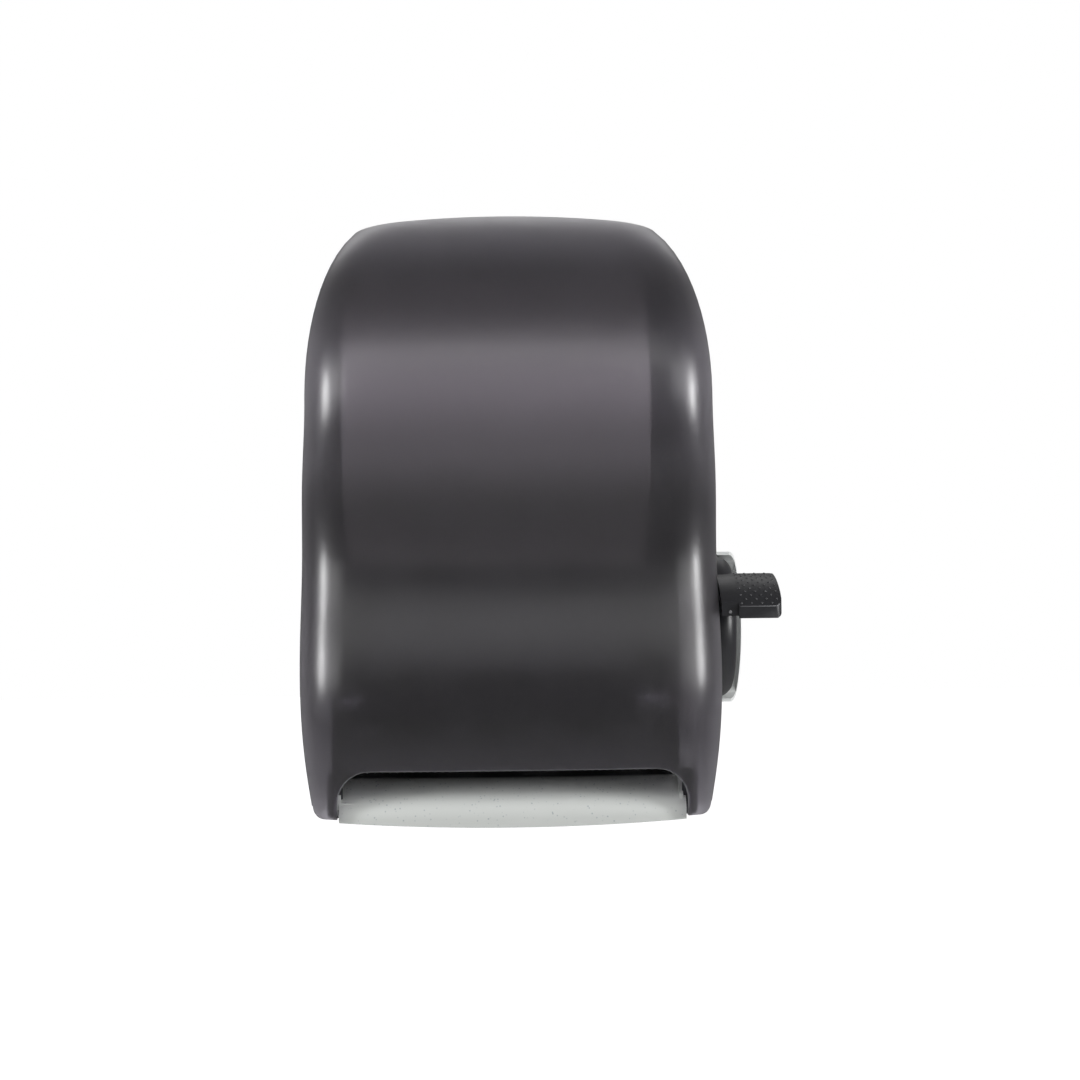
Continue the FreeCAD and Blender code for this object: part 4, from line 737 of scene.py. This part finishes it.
# Black plates behind the gaps at the apron's ends: painted shade, so the gaps read dark

gapShadeValues = {"inner": 113.0, "outer": 122.5, "low": -203, "high": -172, "front": -184, "thick": 2}


def makeGapShades():
    v = gapShadeValues
    for side, name in ((1, "gapShadeRight"), (-1, "gapShadeLeft")):
        corners = [(side * v["inner"], v["low"], 0), (side * v["outer"], v["low"], 3),
                   (side * v["outer"], v["high"], 3), (side * v["inner"], v["high"], 0)]
        gapShade = finishPiece(roundedPrism(corners, v["front"], v["thick"], "Y"), name, blackPlastic,
                          "chassis")
        addBevel(gapShade, 0.0003, 2, 30)


makeGapShades()
print("gapShades ready")


# Springs as round wire

springValues = {
    "pinch": {"starts": (-104.5, 77.5), "length": 12, "radius": 4.6, "wire": 0.7, "turns": 4,
              "axis": (-114.59, -162.01)},
    "return": {"starts": (124.0,), "length": 7.1, "radius": 10, "wire": 1.1, "turns": 4,
               "axis": (-95, -79.5)},
}


def wireCoil(work, start, values, steps=28, sides=10):
    # helical wire about an axis along X
    rings = []
    count = int(values["turns"] * steps)
    radius, wire = values["radius"], values["wire"]
    for k in range(count + 1):
        angle = 2 * math.pi * k / steps
        centre = Vector((start + values["length"] * k / count,
                         values["axis"][0] + radius * math.cos(angle),
                         values["axis"][1] + radius * math.sin(angle)))
        outward = Vector((0, math.cos(angle), math.sin(angle)))
        rings.append([work.verts.new((centre + outward * wire * math.cos(turn)
                                      + Vector((1, 0, 0)) * wire * math.sin(turn)) * mm)
                      for turn in (2 * math.pi * side / sides for side in range(sides))])
    for first, second in zip(rings, rings[1:]):
        for side in range(sides):
            after = (side + 1) % sides
            work.faces.new((first[side], first[after], second[after], second[side]))
    work.faces.new(rings[0])
    work.faces.new(rings[-1])


for node, key in zip(springNodes, ("pinch", "return")):
    coils = bmesh.new()
    for start in springValues[key]["starts"]:
        wireCoil(coils, start, springValues[key])
    bmesh.ops.recalc_face_normals(coils, faces=coils.faces)
    spring = finishPiece(coils, node + "Piece", steel, bodyOf(node))
    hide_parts(node)
print("springs ready")


# Screw and lock faces

recessValues = {
    "long": 2.5, "slim": 0.75, "deep": 1.0, "headFace": -7.7, "headX": (-110, 101.5),
    "headZ": (-64, -160), "keySize": (1.1, 6.0, 2.4), "keyPlace": (0, -60, 206.3),
}


def barCutter(centre, size):
    work = bmesh.new()
    bmesh.ops.create_cube(work, size=1)
    bmesh.ops.scale(work, vec=Vector(size) * mm, verts=work.verts)
    bmesh.ops.translate(work, vec=Vector(centre) * mm, verts=work.verts)
    return looseObject(work, "bar")


def sinkBars(node, bars):
    # cuts narrow bars into a piece whose own edges are already rounded
    piece = pieces[node]
    finish = ownFinish.get(node, finishes[slotOf(node)])
    cutAway(piece, bars)
    piece.data.materials.clear()
    piece.data.materials.append(finish)
    piece.data.shade_smooth()
    piece.data.set_sharp_from_angle(angle=math.radians(30))


def sinkRecesses():
    v = recessValues
    long, slim, deep = 2 * v["long"], 2 * v["slim"], 2 * v["deep"]
    sinkBars("frame_screws", [barCutter((x, v["headFace"], z), size)
                              for x in v["headX"] for z in v["headZ"]
                              for size in ((long, deep, slim), (slim, deep, long))])
    sinkBars("lock_barrel", [barCutter(v["keyPlace"], v["keySize"])])


sinkRecesses()
print("recesses ready")


# Lever: raised dots on the paddle, a lighter tube along its front edge as a painted highlight, and
# the end of the spring pin on its arm

leverValues = {
    "axis": (-95, -79.5), "arc": ((-24, 37), (-53.5, 30.3), (-77.5, 14.5)),
    "firstX": 155.7, "stepX": 6.9, "columns": 4, "endX": 181.0, "rows": 13, "dot": 0.85,
    "height": 0.5, "firstRow": 0.06, "lastRow": 0.955, "pin": (148.2, -170.0, -69.0),
    "pinRadius": 1.1, "pinSink": 0.25, "pinLength": 0.8, "edgeRadius": 0.45,
    "edge": ((154.6, -172.15, -65.3), (178.6, -172.15, -65.3), (180.2, -171.75, -64.8),
             (181.2, -170.9, -63.9)),
}


def circleThrough(a, b, c):
    ax, ay, bx, by, cx, cy = *a, *b, *c
    scale = 2 * (ax * (by - cy) + bx * (cy - ay) + cx * (ay - by))
    u = ((ax ** 2 + ay ** 2) * (by - cy) + (bx ** 2 + by ** 2) * (cy - ay)
         + (cx ** 2 + cy ** 2) * (ay - by)) / scale
    v = ((ax ** 2 + ay ** 2) * (cx - bx) + (bx ** 2 + by ** 2) * (ax - cx)
         + (cx ** 2 + cy ** 2) * (bx - ax)) / scale
    return u, v, math.hypot(ax - u, ay - v)


def leverDots():
    v = leverValues
    u, w, radius = circleThrough(*v["arc"])
    first, last = (math.atan2(v["arc"][k][1] - w, v["arc"][k][0] - u) for k in (0, 2))
    work = bmesh.new()
    for row in range(v["rows"]):
        t = v["firstRow"] + (v["lastRow"] - v["firstRow"]) * row / (v["rows"] - 1)
        angle = first + (last - first) * t
        out = Vector((0, math.cos(angle), math.sin(angle)))
        for column in range(v["columns"]):
            x = v["firstX"] + v["stepX"] * (column + (0.5 if row % 2 else 0))
            if x > v["endX"]:
                continue
            centre = Vector((x, v["axis"][0] + u, v["axis"][1] + w)) + out * radius
            dot = bmesh.ops.create_icosphere(work, subdivisions=2, radius=v["dot"] * mm)["verts"]
            bmesh.ops.scale(work, vec=(1, 1, v["height"] / v["dot"]), verts=dot)
            bmesh.ops.rotate(work, verts=dot, cent=(0, 0, 0),
                             matrix=Matrix.Rotation(angle - math.pi / 2, 3, "X"))
            bmesh.ops.translate(work, vec=centre * mm, verts=dot)
    return finishPiece(work, "leverDots", dotPlastic, "lever_arm", 180)


def leverPin():
    v = leverValues
    x, y, z = v["pin"]
    pin = cylinderAlong("Y", (x, z), v["pinRadius"], y - v["pinSink"], v["pinLength"], 32)
    return finishPiece(pin, "leverPin", zinc, "lever_arm")


def leverEdge():
    v = leverValues
    # a lighter tube along the paddle's front edge: a painted highlight
    highlightTube = tubeAlong([Vector(point) for point in v["edge"]], v["edgeRadius"])
    return finishPiece(highlightTube, "leverEdge", highlightPlastic, "lever_arm", 180)


leverDots()
leverPin()
leverEdge()
print("lever ready")


# Floor, backdrop, lights and camera

studioValues = {
    "floorColour": (0.88, 0.88, 0.88), "floorGlow": 0.97, "world": 0.19,
    "camera": (-0.0367, -2.02, -0.063), "aim": (0.022, -0.12, -0.0181),
    "lens": 91.8, "roll": -0.62, "floorHeight": -1.1,
    "lamps": (
        ("leftSoftbox", (-1.20, -0.56, 0.17), (0, -0.15, 0.0), 0.26, 0.44, 9.5),
        ("leftFill", (-1.35, -1.45, 0.45), (0, -0.15, 0.0), 1.0, 0.8, 7),
        ("rightSoftbox", (1.20, -0.56, 0.17), (0, -0.15, 0.0), 0.26, 0.44, 9.5),
        ("rightFill", (1.35, -1.45, 0.45), (0, -0.15, 0.0), 1.0, 0.8, 7),
        ("frontSoftbox", (0, -2.0, 1.15), (0, -0.15, 0.05), 2.6, 0.5, 8),
        ("backSoftbox", (0, 1.1, 1.0), (0, -0.1, 0.1), 1.6, 0.5, 2),
    ),
}


def areaLamp(name, place, target, size, sizeY, power):
    lamp = bpy.data.lights.new(name, "AREA")
    lamp.shape = "RECTANGLE"
    lamp.size, lamp.size_y = size, sizeY
    lamp.energy = power
    item = bpy.data.objects.new(name, lamp)
    item.location = place
    item.rotation_euler = (Vector(target) - Vector(place)).to_track_quat("-Z", "Y").to_euler()
    bpy.context.scene.collection.objects.link(item)


def seenDirectly(tree):
    # 1 for camera and transmitted rays, so the cover shows the backdrop behind it too
    path = tree.nodes.new("ShaderNodeLightPath")
    either = tree.nodes.new("ShaderNodeMath")
    either.operation = "MAXIMUM"
    tree.links.new(path.outputs["Is Camera Ray"], either.inputs[0])
    tree.links.new(path.outputs["Is Transmission Ray"], either.inputs[1])
    return either.outputs[0]


def stagePaint():
    # pale floor that shows as white to the camera and through the cover
    material, tree, shader = newMaterial("stagePaint")
    shader.inputs["Base Color"].default_value = (*studioValues["floorColour"], 1)
    shader.inputs["Roughness"].default_value = 0.9
    glow = tree.nodes.new("ShaderNodeMath")
    glow.operation = "MULTIPLY"
    glow.inputs[1].default_value = studioValues["floorGlow"]
    tree.links.new(seenDirectly(tree), glow.inputs[0])
    tree.links.new(glow.outputs[0], shader.inputs["Emission Strength"])
    shader.inputs["Emission Color"].default_value = (1, 1, 1, 1)
    return material


def makeStage():
    work = bmesh.new()
    bmesh.ops.create_grid(work, x_segments=1, y_segments=1, size=30)
    bmesh.ops.translate(work, verts=work.verts, vec=(0, 0, studioValues["floorHeight"]))
    mesh = bpy.data.meshes.new("floor")
    work.to_mesh(mesh)
    work.free()
    floor = bpy.data.objects.new("floor", mesh)
    mesh.materials.append(stagePaint())
    bpy.context.scene.collection.objects.link(floor)


def makeWorld():
    world = bpy.data.worlds.new("studio")
    bpy.context.scene.world = world
    world.use_nodes = True
    tree = world.node_tree
    background = tree.nodes["Background"]
    strength = tree.nodes.new("ShaderNodeMapRange")
    strength.inputs["To Min"].default_value = studioValues["world"]
    strength.inputs["To Max"].default_value = 1.0
    tree.links.new(seenDirectly(tree), strength.inputs["Value"])
    tree.links.new(strength.outputs["Result"], background.inputs["Strength"])
    background.inputs["Color"].default_value = (1, 1, 1, 1)


def makeCamera():
    camera = bpy.data.cameras.new("camera")
    camera.lens = studioValues["lens"]
    camera.sensor_width = 36
    camera.sensor_fit = "HORIZONTAL"
    item = bpy.data.objects.new("camera", camera)
    aim = Vector(studioValues["aim"])
    place = Vector(studioValues["camera"])
    item.location = place
    turn = (aim - place).to_track_quat("-Z", "Y").to_matrix()
    roll = Matrix.Rotation(math.radians(studioValues["roll"]), 3, "Z")
    item.rotation_euler = (turn @ roll).to_euler()
    bpy.context.scene.collection.objects.link(item)
    bpy.context.scene.camera = item


makeStage()
makeWorld()
for lampValues in studioValues["lamps"]:
    areaLamp(*lampValues)
makeCamera()
bpy.context.scene.view_settings.view_transform = "Standard"
print("studio ready")
